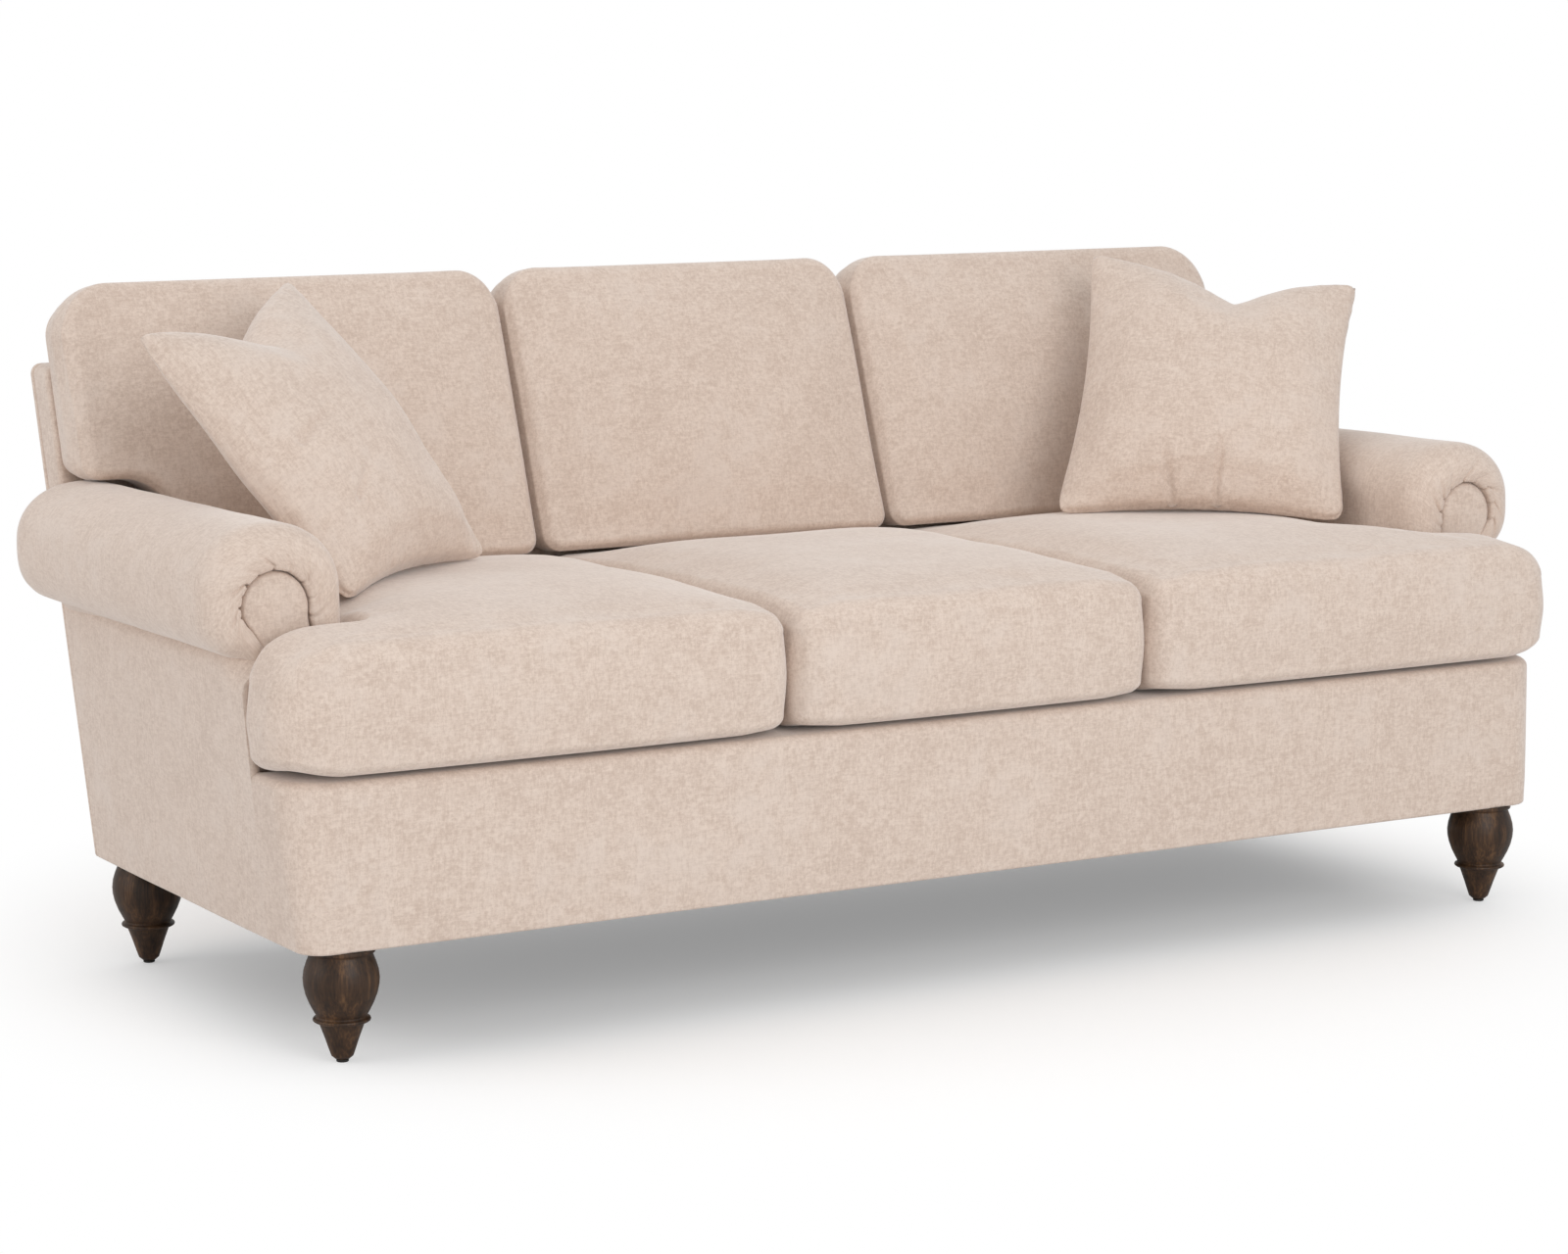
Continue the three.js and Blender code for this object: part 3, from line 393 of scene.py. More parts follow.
# Fabric over its filling: an evenly remeshed copy of the piece is blown up by Blender's Cloth. How far each point of
# the copy moved, less the mean along its normal and capped, is carried to the piece by Surface Deform, full on the
# faces that look up or forwards and fading to nothing on those that rest against something
def settle(piece, pressure, slack, cap):
    scene, style = bpy.context.scene, clothStyle
    copy = newObject("settling", piece.data.copy())
    even = copy.modifiers.new("even", "REMESH")
    even.mode, even.voxel_size = "VOXEL", style["voxel"]
    bpy.context.view_layer.update()
    cells = bpy.data.meshes.new_from_object(evaluated(copy))
    copy.modifiers.clear()
    copy.data = cells
    before, normals = vertexArray(cells, "co"), vertexArray(cells, "normal")
    cloth = copy.modifiers.new("cloth", "CLOTH")
    fabric = cloth.settings
    fabric.quality, fabric.mass, fabric.air_damping = style["steps"], style["mass"], style["air"]
    fabric.bending_stiffness, fabric.shrink_min = style["bending"], -slack
    fabric.use_pressure, fabric.uniform_pressure_force = True, pressure
    fabric.effector_weights.gravity = 0
    cloth.collision_settings.use_collision = False
    cloth.point_cache.frame_start, cloth.point_cache.frame_end = 1, style["frames"]
    for step in range(1, style["frames"] + 1):
        scene.frame_set(step)
    moved = vertexArray(evaluated(copy).to_mesh(), "co") - before
    scene.frame_set(1)
    copy.modifiers.clear()
    moved -= normals * np.einsum("ij,ij->i", moved, normals).mean()
    moved *= np.minimum(1, cap * mm / np.maximum(np.linalg.norm(moved, axis=1), 1e-9))[:, None]
    follow = piece.modifiers.new("follow", "SURFACE_DEFORM")
    follow.target = copy
    bpy.context.view_layer.update()
    with bpy.context.temp_override(object=piece, active_object=piece):
        bpy.ops.object.surfacedeform_bind(modifier=follow.name)
    cells.vertices.foreach_set("co", (before + moved).ravel())
    cells.update()
    bpy.context.view_layer.update()
    carried = vertexArray(evaluated(piece).to_mesh(), "co")
    piece.modifiers.clear()
    start, way = vertexArray(piece.data, "co"), vertexArray(piece.data, "normal")
    exposed = smoothStep(np.maximum(-way[:, 1], way[:, 2]), 0.0, 0.5)[:, None]
    piece.data.vertices.foreach_set("co", lerp(start, carried, exposed).ravel())
    piece.data.update()
    bpy.data.objects.remove(copy)
    print(piece.name, "settled:", len(cells.vertices), "points, moved up to",
          round(float(np.abs(carried - start).max()) / mm, 1), "mm")


# Outward normal of each point of a grid, from the cross product of its two directions; which way is out is told by
# one row and a point inside it
def gridNormals(grid, row, inside, closed):
    around = np.roll(grid, -1, axis=1) - np.roll(grid, 1, axis=1) if closed else np.gradient(grid, axis=1)
    normals = np.cross(around, np.gradient(grid, axis=0))
    normals /= np.maximum(np.linalg.norm(normals, axis=-1, keepdims=True), 1e-9)
    return normals * np.sign(np.einsum("ij,ij->i", normals[row], grid[row] - inside).sum())


# Slow unevenness: the mean of a few seeded sine waves that run in different directions
def unevenness(points, seed, length, waves=7):
    dice = np.random.default_rng(seed)
    total = np.zeros(points.shape[:-1])
    for _ in range(waves):
        direction = dice.normal(size=3)
        direction *= dice.uniform(0.6, 1.5) * 2 * np.pi / (length * np.linalg.norm(direction))
        total += np.sin(points @ direction + dice.uniform(0, 2 * np.pi))
    return total / waves ** 0.5


# A closed outline with right-angled corners (x, y, radius), a point about every step, and each point's way out
def roundedOutline(corners, step):
    spots = np.array([c[:2] for c in corners], float)
    points, ways = [], []
    for i, (_, _, radius) in enumerate(corners):
        after = spots[(i + 1) % len(spots)]
        into = spots[i] - spots[i - 1]
        away = after - spots[i]
        into, away = into / np.linalg.norm(into), away / np.linalg.norm(away)
        side = np.sign(into[0] * away[1] - into[1] * away[0])
        middle = spots[i] - into * radius + away * radius
        angles = np.linspace(0, np.pi / 2, max(7, int(radius * 2.4 / step)))[:, None]
        out = -away * np.cos(angles) + into * np.sin(angles)
        points.append(middle + out * radius)
        ways.append(out * side)
        start, end = points[-1][-1], after - away * corners[(i + 1) % len(corners)][2]
        shares = np.linspace(0, 1, max(2, int(np.linalg.norm(end - start) / step)) + 1)[1:-1, None]
        points.append(lerp(start, end, shares))
        ways.append(np.repeat([[away[1], -away[0]]], len(shares), axis=0))
    return np.concatenate(points), np.concatenate(ways)


# Loose cushions

cushionSteps = {
    "outline": 9, "edge": 12, "side": 18, "face": 46, "crowding": 1.6, "under": (0.9, 0.7, 0.45, 0.2),
}


# The side of a boxed cushion as rows of (drawn in, height): an elliptical edge at both faces, given as how far each
# is drawn in and how high it is, and a swell between them
def boxingProfile(depth, lower, upper, swell):
    falling, rising = quarterTurn(cushionSteps["edge"])
    height = np.linspace(lower[1], depth - upper[1], cushionSteps["side"])[1:-1]
    share = (height - lower[1]) / (depth - lower[1] - upper[1])
    return np.concatenate([
        np.stack([lower[0] * falling, lower[1] * rising], axis=1),
        np.stack([-swell * np.sin(np.pi * share) ** 1.5, height], axis=1),
        np.stack([upper[0] * rising, depth - upper[1] * falling], axis=1)])


# A boxed cushion over an outline: rings up its side, then over its crowned face towards the centre, which lie
# closer together near the edge; place(points, share of the depth) puts them in the sofa
def makeCushion(kind, name, side, corners, centre, depth, style, place):
    steps, centre = cushionSteps, np.array(centre)
    points, ways = roundedOutline(corners, steps["outline"])
    profile = boxingProfile(depth, style["lower"], style["upper"], style["swell"])
    rim, foot = points - ways * style["upper"][0], points - ways * style["lower"][0]
    inward = np.linspace(0, 1, steps["face"])[1:-1] ** steps["crowding"]
    under = [place(lerp(foot, centre, share), np.zeros(len(points))) for share in steps["under"]]
    boxing = [place(points - ways * drawnIn, np.full(len(points), height / depth)) for drawnIn, height in profile]
    face = [place(lerp(rim, centre, share), np.ones(len(points))) for share in inward]
    rings = np.stack(under + boxing + face)
    edge = len(under) + len(boxing) - 1
    away = np.hypot(*(profile - profile[-steps["edge"]]).T)[:, None]  # from the seam, where the upper edge starts
    groove = np.zeros((len(rings), 1))
    groove[len(under):edge + 1] = np.exp(-(away / style["seamWidth"]) ** 2) * style["seamDepth"]
    rings = rings - gridNormals(rings, edge, rings[edge].mean(axis=0), True) * groove[..., None]
    low, high = (place(centre[None], np.array([share]))[0] for share in (0.0, 1.0))
    pad = addPadded(f"{kind}_pad_{name}", ringedSurface(rings, low, high), f"{kind}_cushion_{name}", side,
                    f"{name}_{kind}")
    settle(pad, *style["cloth"])


# One in the middle between low and high, less a power of the distance from it, down to nothing at both
def crownBump(x, low, high, power):
    return np.maximum(0, 1 - np.abs((2 * x - low - high) / (high - low)) ** power)


seatShape = {
    "bottom": 368.5, "frontY": -52, "frontBulge": 11, "rearY": 686, "edgeFront": 538, "edgeRear": 528.5,
    "crown": 34, "divide": 290, "earOuter": 1025, "earRearY": 77, "earFade": (38, 190), "armInner": 869,
    "corner": 28, "earCorner": 56, "earRearCorner": 30, "rearCorner": 30, "nook": 10, "crownRearY": 630,
    "power": 2.4, "acrossPower": 3.8, "rearPower": 3, "gap": 1.8, "armGap": 1, "frontRise": 4.5,
    "sideReach": 80, "sideDrop": 42, "sideRise": 18, "frontReach": 95, "cornerDrop": 20, "cornerRise": 12,
    "innerReach": 70, "innerDrop": 13, "innerRise": 7, "uneven": 1.2, "wave": 260,
    "pressedX": 666, "pressedY": 320, "pressedTurn": 36, "pressedLength": 270, "pressedWidth": 150, "pressed": 6.5,
}
seatStyle = {
    "lower": (18, 15), "upper": (22, 30), "swell": 4, "seamWidth": 3, "seamDepth": 0.6, "fill": 0.85,
    "cloth": (4.0, 0.02, 3.5),  # pressure, how much slack the cloth has, and how far a point may move
}


# Height of a seat cushion's top: a straight edge line, plus a crown that falls to nothing at the edges, and later
# towards the back than towards the front; where a pillow stands on an outer seat, it is pressed down a little
def seatTop(x, y, inner, outer, rearOuter):
    s = seatShape
    edge = s["edgeFront"] + (s["edgeRear"] - s["edgeFront"]) * (y - s["frontY"]) / (s["crownRearY"] - s["frontY"])
    widest = lerp(outer, rearOuter, smoothStep(y, *s["earFade"]))
    power = np.where(y > (s["frontY"] + s["crownRearY"]) / 2, s["rearPower"], s["power"])
    crown = crownBump(x, inner, widest, s["acrossPower"]) * crownBump(y, s["frontY"], s["crownRearY"], power)
    dx, dy, turn = x - s["pressedX"], y - s["pressedY"], np.radians(s["pressedTurn"])
    along, off = dx * np.cos(turn) - dy * np.sin(turn), dx * np.sin(turn) + dy * np.cos(turn)
    pressed = np.exp(-(along / s["pressedLength"]) ** 2 - (off / s["pressedWidth"]) ** 2)
    return np.maximum(s["edgeRear"], edge) + (s["crown"] - s["pressed"] * pressed) * crown


# How far a seat's top falls and its underside rises: a quarter of an ellipse towards the outer side of a T cushion's
# ear, and more at each front corner, by the product of how far a point lies into it both ways
def softness(x, y, fromSide):
    s = seatShape
    along = np.clip((x - s["earOuter"] + s["sideReach"]) / s["sideReach"], 0, 1)
    corner = along * np.clip((s["frontY"] + s["frontReach"] - y) / s["frontReach"], 0, 1)
    side = 1 - np.sqrt(1 - along ** 2)
    inner = np.clip(1 - fromSide / s["innerReach"], 0, 1) * np.clip(1 - (y - s["frontY"]) / s["innerReach"], 0, 1)
    shares = {"side": side, "corner": corner, "inner": inner}
    return (sum(s[part + way] * share for part, share in shares.items()) for way in ("Drop", "Rise"))


# Where a seat's outline points stand: from its underside to its top by share, with a front that bulges forwards
def seatPlacer(inner, outer, rearOuter, seed):
    s = seatShape
    middle = (inner + outer) / 2

    def place(p, share):
        x, y = p[:, 0], p[:, 1]
        across = np.abs((x - middle) / (outer - middle))
        bulge = s["frontBulge"] * np.clip(y / s["frontY"], 0, 1) * np.maximum(0, 1 - across ** s["power"])
        top = seatTop(x, y, inner, outer, rearOuter) + unevenness(atHeight(p, 1.0), seed, s["wave"]) * s["uneven"]
        drop, rise = softness(x, y, np.minimum(x - inner, np.inf if outer > s["armInner"] else outer - x))
        rise = rise + s["frontRise"] * smoothStep(-y, -20, 40)
        return np.stack([x, y - bulge, lerp(s["bottom"] + rise, top - drop, share)], axis=1)

    return place


# Two T-shaped seats that reach round the arms, one the mirror of the other in outline, and a straight one between
def makeSeats():
    s, swell = seatShape, seatStyle["swell"]
    front, rear, earRear = s["frontY"], s["rearY"], s["earRearY"]
    inner, outer = s["divide"] + s["gap"] + swell, s["armInner"] - s["armGap"] - swell
    half = s["divide"] - s["gap"] - swell
    eared = (
        (inner, rear, s["rearCorner"]), (inner, front, s["corner"]), (s["earOuter"], front, s["earCorner"]),
        (s["earOuter"], earRear, s["earRearCorner"]), (outer, earRear, s["nook"]), (outer, rear, s["rearCorner"]))
    straight = (
        (-half, rear, s["rearCorner"]), (-half, front, s["corner"]), (half, front, s["corner"]),
        (half, rear, s["rearCorner"]))
    atSide = (eared, (inner + outer) / 2, (inner, s["earOuter"], outer))
    atCentre = (straight, 0.0, (-half, half, half))
    for name, side, (corners, x, limits), seed in (
            ("left", -1, atSide, 11), ("right", 1, atSide, 12), ("centre", 1, atCentre, 13)):
        makeCushion("seat", name, side, corners, (x, earRear / 2), s["edgeFront"] - s["bottom"], seatStyle,
                    seatPlacer(*limits, seed))


backShape = {
    "rake": 0.31, "rearFootY": 689.5, "footZ": 148, "frameDepth": 65, "bottom": 530, "top": 946, "divide": 299.5,
    "depthLow": 108, "depthTop": 82, "crown": 26, "power": 2.4, "earOuter": 985, "earBottom": 673, "corner": 60,
    "outerCorner": 76, "footCorner": 24, "nook": 66, "topTilt": 0.28, "clear": 0.3, "uneven": 1.6, "wave": 240,
}
backStyle = {
    "lower": (14, 14), "upper": (17, 21), "swell": 3, "seamWidth": 3, "seamDepth": 0.3, "fill": 0.8,
    "cloth": (4.0, 0.02, 3.5),
}


# The rear plane of the frame leans back with height, and its front plane lies one frame depth before it
def rearY(z):
    b = backShape
    return b["rearFootY"] + b["rake"] * (z - b["footZ"])


def frameFrontY(z):
    return rearY(z) - backShape["frameDepth"]


# Where a back's outline points stand: from the frame forwards by share of a depth that thins upwards and is crowned
def backPlacer(low, high, seed):
    b = backShape

    def place(p, share):
        x, upward = p[:, 0], p[:, 1]
        up = np.clip((upward - b["bottom"]) / (b["top"] - b["bottom"]), 0, 1)
        crown = crownBump(x, low, high, b["power"]) * crownBump(upward, b["bottom"], b["top"], b["power"])
        depth = lerp(b["depthLow"], b["depthTop"], up) + b["crown"] * crown
        depth = depth + unevenness(atHeight(p, 1.0), seed, b["wave"]) * b["uneven"] * share
        z = upward - b["topTilt"] * b["depthTop"] * up ** 3 * (1 - share)
        return np.stack([x, frameFrontY(z) - b["clear"] - depth * share, z], axis=1)

    return place


# Two back cushions with an ear over the arm, and a straight one between
def makeBackCushions():
    b, s, swell = backShape, seatShape, backStyle["swell"]
    foot, top, earFoot, corner = b["bottom"] + swell, b["top"], b["earBottom"], b["footCorner"]
    inner, armSide = b["divide"] + s["gap"] + swell, s["armInner"] - s["armGap"] - swell
    half = b["divide"] - s["gap"] - swell
    eared = (
        (inner, foot, corner), (armSide, foot, corner), (armSide, earFoot, b["nook"]),
        (b["earOuter"], earFoot, corner), (b["earOuter"], top, b["outerCorner"]), (inner, top, b["corner"]))
    straight = ((-half, foot, corner), (half, foot, corner), (half, top, b["corner"]), (-half, top, b["corner"]))
    atSide = (eared, ((inner + armSide) / 2, (earFoot + top) / 2), (inner, b["earOuter"]))
    atCentre = (straight, (0.0, (b["bottom"] + top) / 2), (-half, half))
    for name, side, (corners, centre, limits), seed in (
            ("left", -1, atSide, 21), ("right", 1, atSide, 22), ("centre", 1, atCentre, 23)):
        makeCushion("back", name, side, corners, centre, b["depthLow"], backStyle, backPlacer(*limits, seed))


makeSeats()
makeBackCushions()
print("cushions made")


# Arms

armShape = {
    "inner": 869, "rollX": 965.5, "rollZ": 588, "halfWidth": 96.5, "rise": 88, "drop": 87, "underX": 1003,
    "footZ": 368.5, "start": 180.0, "end": -75.6, "upperPower": 0.93, "lowerPower": 0.67,
    "frontY": 88, "rearEndY": 800, "headX": 968.5, "headZ": 571, "headRadius": 46, "headStart": 194.4,
    "headEnd": -19.8, "waistZ": 512, "stemInner": 905, "stemOuter": 984, "recess": 7, "groove": 7.4, "gap": 2.2,
    "facingShift": 1, "facingThickness": 12, "facingEdge": 0.09, "facingCrown": 2.6, "facingFoot": 352,
    "stemWide": 1000, "wideTop": 1006, "wideZ": 488, "endLength": 55, "flatShare": 0.7, "fullShare": 0.85,
    "dip": 0.05, "droop": 9, "uneven": 0.8, "wave": 230, "unevenFrom": (30, 160), "besideX": 976, "besideFade": 8,
    "behind": 22, "hubIn": 16, "hubDown": 60, "poleIn": 24,
}
armSteps = {
    "bend": 150, "head": 110, "stem": 14, "rise": 20, "under": 24, "turnIn": 7, "end": 34, "side": 60, "rearEnd": 14,
    "polePoint": 40, "weavePoint": 60,  # the points of a ring that the rear pole and the weave's length go by
}
pleatStyle = {"depth": 3.4, "width": 2.0, "spread": 5.5, "puff": 1.1, "start": 0.145, "ends": (-60, -40, 200, 225)}
pleatPlaces = {  # degrees round the facing's head from straight outwards, and how deep
    "left": (
        (-30, 0.9), (-12, 0.5), (3, 1.0), (20, 0.4), (38, 1.5), (62, 0.4), (88, 0.9), (114, 0.4), (143, 0.8),
        (170, 0.4), (196, 0.7)),
    "right": (
        (-32, 0.8), (-14, 0.9), (14, 0.5), (44, 1.1), (72, 0.5), (99, 1.2), (130, 0.5), (152, 0.8), (174, 1.1),
        (198, 0.6)),
}


# A superellipse arc: powers of the cosine and sine stretch a circle towards a square
def armOutline(count):
    a = armShape
    angle = np.radians(np.linspace(a["start"], a["end"], count))
    c, s = np.cos(angle), np.sin(angle)
    power = np.where(s < 0, a["lowerPower"], a["upperPower"])
    x = a["rollX"] + np.sign(c) * np.abs(c) ** power * a["halfWidth"]
    z = a["rollZ"] + np.sign(s) * np.abs(s) ** power * np.where(s > 0, a["rise"], a["drop"])
    return np.stack([x, z], axis=1)


# The round head of the facing's keyhole, grown by an even margin, from its inner side over the top to the waist
def headOutline(count, grow):
    a = armShape
    turn = np.radians(np.linspace(a["headStart"], a["headEnd"], count))
    radius = a["headRadius"] + grow
    return np.stack([a["headX"] + np.cos(turn) * radius, a["headZ"] + np.sin(turn) * radius], axis=1)


# Mean of each point and its neighbours, which rounds the bends of an open outline
def eased(points, times):
    for _ in range(times):
        middle = (points[:-2] + 2 * points[1:-1] + points[2:]) / 4
        points = np.concatenate([points[:1], middle, points[-1:]])
    return points


# The arm's section outside, and where it meets the facing: up the inner side, round, and in under the roll
def armCurves():
    a = armShape
    legTop, count = (a["footZ"] + a["rollZ"]) / 2, armSteps["bend"]
    curves = []
    for x, bend, end, times in (
            (a["inner"], armOutline(count), (a["underX"], a["rollZ"] - a["drop"]), 6),
            (a["stemInner"] - a["groove"], headOutline(count, a["groove"]), (a["stemOuter"], a["waistZ"]), 10)):
        stem = straightTo((x, a["footZ"]), (x, legTop), armSteps["stem"])
        rise = straightTo((x, legTop), bend[0], armSteps["rise"])
        curves.append(eased(np.concatenate([stem, rise, bend, [end]]), times))
    return curves


# From the facing's edge (share 1) over the rounded end to the arm's side (share 0): the distance from the end is a
# quarter of an ellipse outside the flat part, and a slight dip towards the edge inside it
def endDistance(share):
    a = armShape
    out = np.clip(1 - share / a["flatShare"], 0, 1)
    dip = a["dip"] * (np.clip(share - a["flatShare"], 0, 1) / (1 - a["flatShare"])) ** 2
    return (a["fullShare"] * (1 - np.sqrt(1 - out ** 2)) + dip) * a["endLength"]


# The rolled arm: its section is carried from the facing's edge over the rounded end, along the side, and drawn in
# at the rear
def makeArm(name, side):
    a, style, steps = armShape, pleatStyle, armSteps
    outer, inner = armCurves()
    arc, outerArc = lengthAlong(inner), lengthAlong(outer)
    toHub = inner - np.array([a["headX"], a["headZ"]])
    angles = np.degrees(np.arctan2(toHub[:, 1], toHub[:, 0]))
    angles = np.where(angles < -100, angles + 360, angles)

    # rows of (section, distance back, share): the edge turns in beside the facing, then the end, side and rear end
    edgeIn = a["groove"] - a["gap"]
    turnedIn = toHub / np.linalg.norm(toHub, axis=1)[:, None] * edgeIn
    edgeY = a["frontY"] + endDistance(1.0)
    floorY = a["frontY"] + a["recess"] + a["facingThickness"] + 0.4
    rows = [(inner - turnedIn, y, 1.3) for y in (floorY, edgeY + edgeIn + 4)]
    for t in np.linspace(np.pi / 2, 0, steps["turnIn"])[:-1]:
        rows.append((inner - turnedIn * np.sin(t), edgeY + edgeIn * (1 - np.cos(t)), 1.0 + 0.2 * np.sin(t)))
    for share in 1 - np.linspace(0, 1, steps["end"]) ** 0.8:
        rows.append((lerp(outer, inner, share), a["frontY"] + endDistance(share), share))
    sideEnds = rows[-1][1], a["rearEndY"] - endDistance(0.0)
    rows += [(outer, y, 0.0) for y in np.linspace(*sideEnds, steps["side"])[1:-1]]
    for share in np.linspace(0, 0.6, steps["rearEnd"]):
        rows.append((lerp(outer, inner, share), a["rearEndY"] - endDistance(share), 0.0))
    grid = np.stack([atDepth(section, y) for section, y, _ in rows])
    shares = np.array([share for _, _, share in rows])[:, None]
    above = np.clip((grid[..., 2] - a["rollZ"]) / a["rise"], 0, 1)
    grid[..., 2] -= a["droop"] * above * np.clip((grid[..., 1] - a["frontY"]) / (a["rearEndY"] - a["frontY"]), 0, 1)

    # pleats: grooves that run out from the facing's head and fade, with the cloth a little full between them
    reach = smoothStep(np.minimum(shares, 2 - shares), style["start"], 1.0)
    width = style["width"] + style["spread"] * np.clip(1 - shares, 0, 1)
    groove = np.zeros(grid.shape[:2])
    for angle, strength in pleatPlaces[name]:
        spot = np.interp(-angle, -angles, arc)
        groove = np.maximum(groove, strength * np.exp(-((arc[None] - spot) / width) ** 2))
    onHead = smoothStep(angles, *style["ends"][:2]) * (1 - smoothStep(angles, *style["ends"][2:]))
    push = (style["puff"] * (1 - groove) - style["depth"] * groove) * reach * onHead[None]
    normals = gridNormals(grid, len(rows) // 2, np.array([a["rollX"], 0, a["rollZ"]]), False)
    grid = grid + normals * push[..., None]
    soft = smoothStep(grid[..., 1], *[a["frontY"] + behind for behind in a["unevenFrom"]])
    grid = grid + normals * (unevenness(grid, 31 + side, a["wave"]) * a["uneven"] * soft)[..., None]

    # the inner part stops inside the raked back
    beside = np.clip((grid[..., 0] - a["besideX"]) / a["besideFade"], 0, 1)
    behind = lerp(rearY(grid[..., 2]) - a["behind"], a["rearEndY"] + 10, beside)
    grid[..., 1] = np.minimum(grid[..., 1], behind)

    # the line that closes each ring under the roll lies behind the facing
    closed = np.stack([np.concatenate([row, straightTo(row[-1], row[0], steps["under"])[1:]]) for row in grid])
    closed[:, len(inner):, 1] = np.maximum(closed[:, len(inner):, 1], floorY + 0.2)
    middle = np.array([a["headX"] - a["poleIn"], 0, a["headZ"] - a["headRadius"]])
    first, last = middle + [0, closed[0, 0, 1], 0], middle + [0, closed[-1, steps["polePoint"], 1], 0]
    length = lengthAlong(closed[:, steps["weavePoint"]])
    roundIt = np.concatenate([outerArc, outerArc[-1] + np.linspace(0, 200, steps["under"])[1:]])
    weave = np.stack(np.broadcast_arrays(roundIt[None], length[:, None], np.zeros((1, 1))), axis=-1)
    weave = stacked(weave, [0, 0, 0], [0, length[-1], 0])
    addPadded(f"arm_{name}", ringedSurface(closed, first, last), f"arm_roll_{name}", side, weave=weave)


# The keyhole panel on the arm's front: a flat face that falls away to a rounded edge, inside the pleated sleeve;
# below the waist it widens behind the seat, up to the outside panel
def makeFacing(name, side):
    a, head = armShape, headOutline(armSteps["head"], 0)
    start, stemTop = (a["stemInner"], a["facingFoot"]), (a["stemInner"], a["waistZ"] - a["headRadius"])
    waist, wide, foot = (a["stemOuter"], a["waistZ"]), (a["wideTop"], a["wideZ"]), (a["stemWide"], a["facingFoot"])
    line = np.concatenate([
        straightTo(start, stemTop, 20), straightTo(stemTop, head[0], 20), head,
        straightTo(head[-1], waist, 8), straightTo(waist, wide, 8), straightTo(wide, foot, 14), [foot]])
    line = np.concatenate([eased(line, 8), straightTo(foot, start, 14)[1:]])
    line[:, 0] += a["facingShift"] * side
    hub = np.array([a["headX"] - a["hubIn"], a["headZ"] - a["hubDown"]])
    front = a["frontY"] + a["recess"]
    back, crown = front + a["facingThickness"], a["facingCrown"]
    rings = [atDepth(lerp(hub, line, share), back) for share in (0.3, 0.6, 0.85)]
    for t in np.linspace(np.pi / 2, 0, 6)[::-1]:
        drawn = lerp(line, hub, a["facingEdge"] * (1 - np.cos(t)) + 0.004)
        rings.append(atDepth(drawn, back - (back - front - 1.0) * np.sin(t)))
    for share in (0.88, 0.8, 0.7, 0.5, 0.3, 0.12):
        rings.append(atDepth(lerp(hub, line, share), front - crown * (1 - share ** 2)))
    surface = ringedSurface(np.stack(rings), [hub[0], back, hub[1]], [hub[0], front - crown, hub[1]])
    addPadded(f"facing_{name}", surface, f"arm_facing_{name}", side)


# Base and back

baseShape = {
    "bottom": 148, "frontY": -42, "halfBottom": 995, "halfTop": 1014, "top": 365, "skin": 10, "pad": 13,
    "hem": 4, "lip": 12, "cornerBottom": 34, "cornerTop": 70, "seamY": 80, "lipUnder": 352, "sidePad": 24,
    "groove": 7, "seamGap": 0.02, "closing": (26, 10), "poleY": 18, "pocketRear": 120.0, "pocketFoot": 100.0,
    "puff": 0.6, "uneven": 0.7, "wave": 300, "unevenFront": (-60, 20), "unevenFoot": (150, 190),
    "unevenTop": (340, 362),
}
panelShape = {
    "swell": 2.5, "swellFoot": (150, 200), "lift": 2.5, "liftFrom": 430, "frontLift": 15, "wave": 260,
    "leanZ": (468, 516), "leanOut": 8, "grooveUnder": (14, 2),
}
frameShape = {  # the upholstered back
    "half": 988.0, "top": 822.0, "edge": 16.0, "insideFoot": 354.0, "insideCorner": 7.0, "outsideCorner": 4.0,
    "panel": 10, "clear": 0.3, "hem": ((148.0, 4), (149.2, 1.2), (152.0, 0)), "pocketHalf": 922.3,
    "pocketHeights": (300.0, 800.3), "pocketRear": 40, "pad": 15, "insidePoles": (30, 28), "outsidePole": 5,
    "swell": 1.0, "uneven": 0.8, "wave": 320,
}
rimSteps, rimReach = np.array([0, 0.4, 1.5, 5]), 12  # close together, so that smooth shading keeps a rim crisp


# The base widens evenly from its bottom to its top
def flareShare(z):
    return (z - baseShape["bottom"]) / (baseShape["top"] - baseShape["bottom"])


def flare(z):
    return baseShape["halfBottom"] + (baseShape["halfTop"] - baseShape["halfBottom"]) * flareShare(z)


# Even steps from low to high, with close ones at both ends
def tightEnds(low, high, count):
    way = np.sign(high - low)
    close = rimSteps * way
    middle = np.linspace(low + rimReach * way, high - rimReach * way, count)
    return np.concatenate([low + close, middle, high - close[::-1]])


# A level outline of the front border, with round front corners
def borderOutline(z, inset):
    b, mirror = baseShape, [-1, 1]
    half, front, end = flare(z) - inset, b["frontY"] + inset, b["seamY"] - b["seamGap"]
    radius = lerp(b["cornerBottom"], b["cornerTop"], flareShare(z))
    angle = np.linspace(0, np.pi / 2, 16)
    x = half - radius + radius * np.cos(angle)
    y = front + radius - radius * np.sin(angle)
    depths = np.concatenate([end - rimSteps, np.linspace(end - rimReach, y[0], 5)[:-1]])
    right = np.concatenate([np.stack([np.full(len(depths), half), depths], axis=1), np.stack([x, y], axis=1)])
    across = straightTo(right[-1], right[-1] * mirror, 180)[1:]
    closing = tightEnds(-half, half, 50)[1:-1]
    rear = np.stack([closing, np.full(len(closing), end)], axis=1)
    return atHeight(np.concatenate([right, across, right[::-1] * mirror, rear]), z)


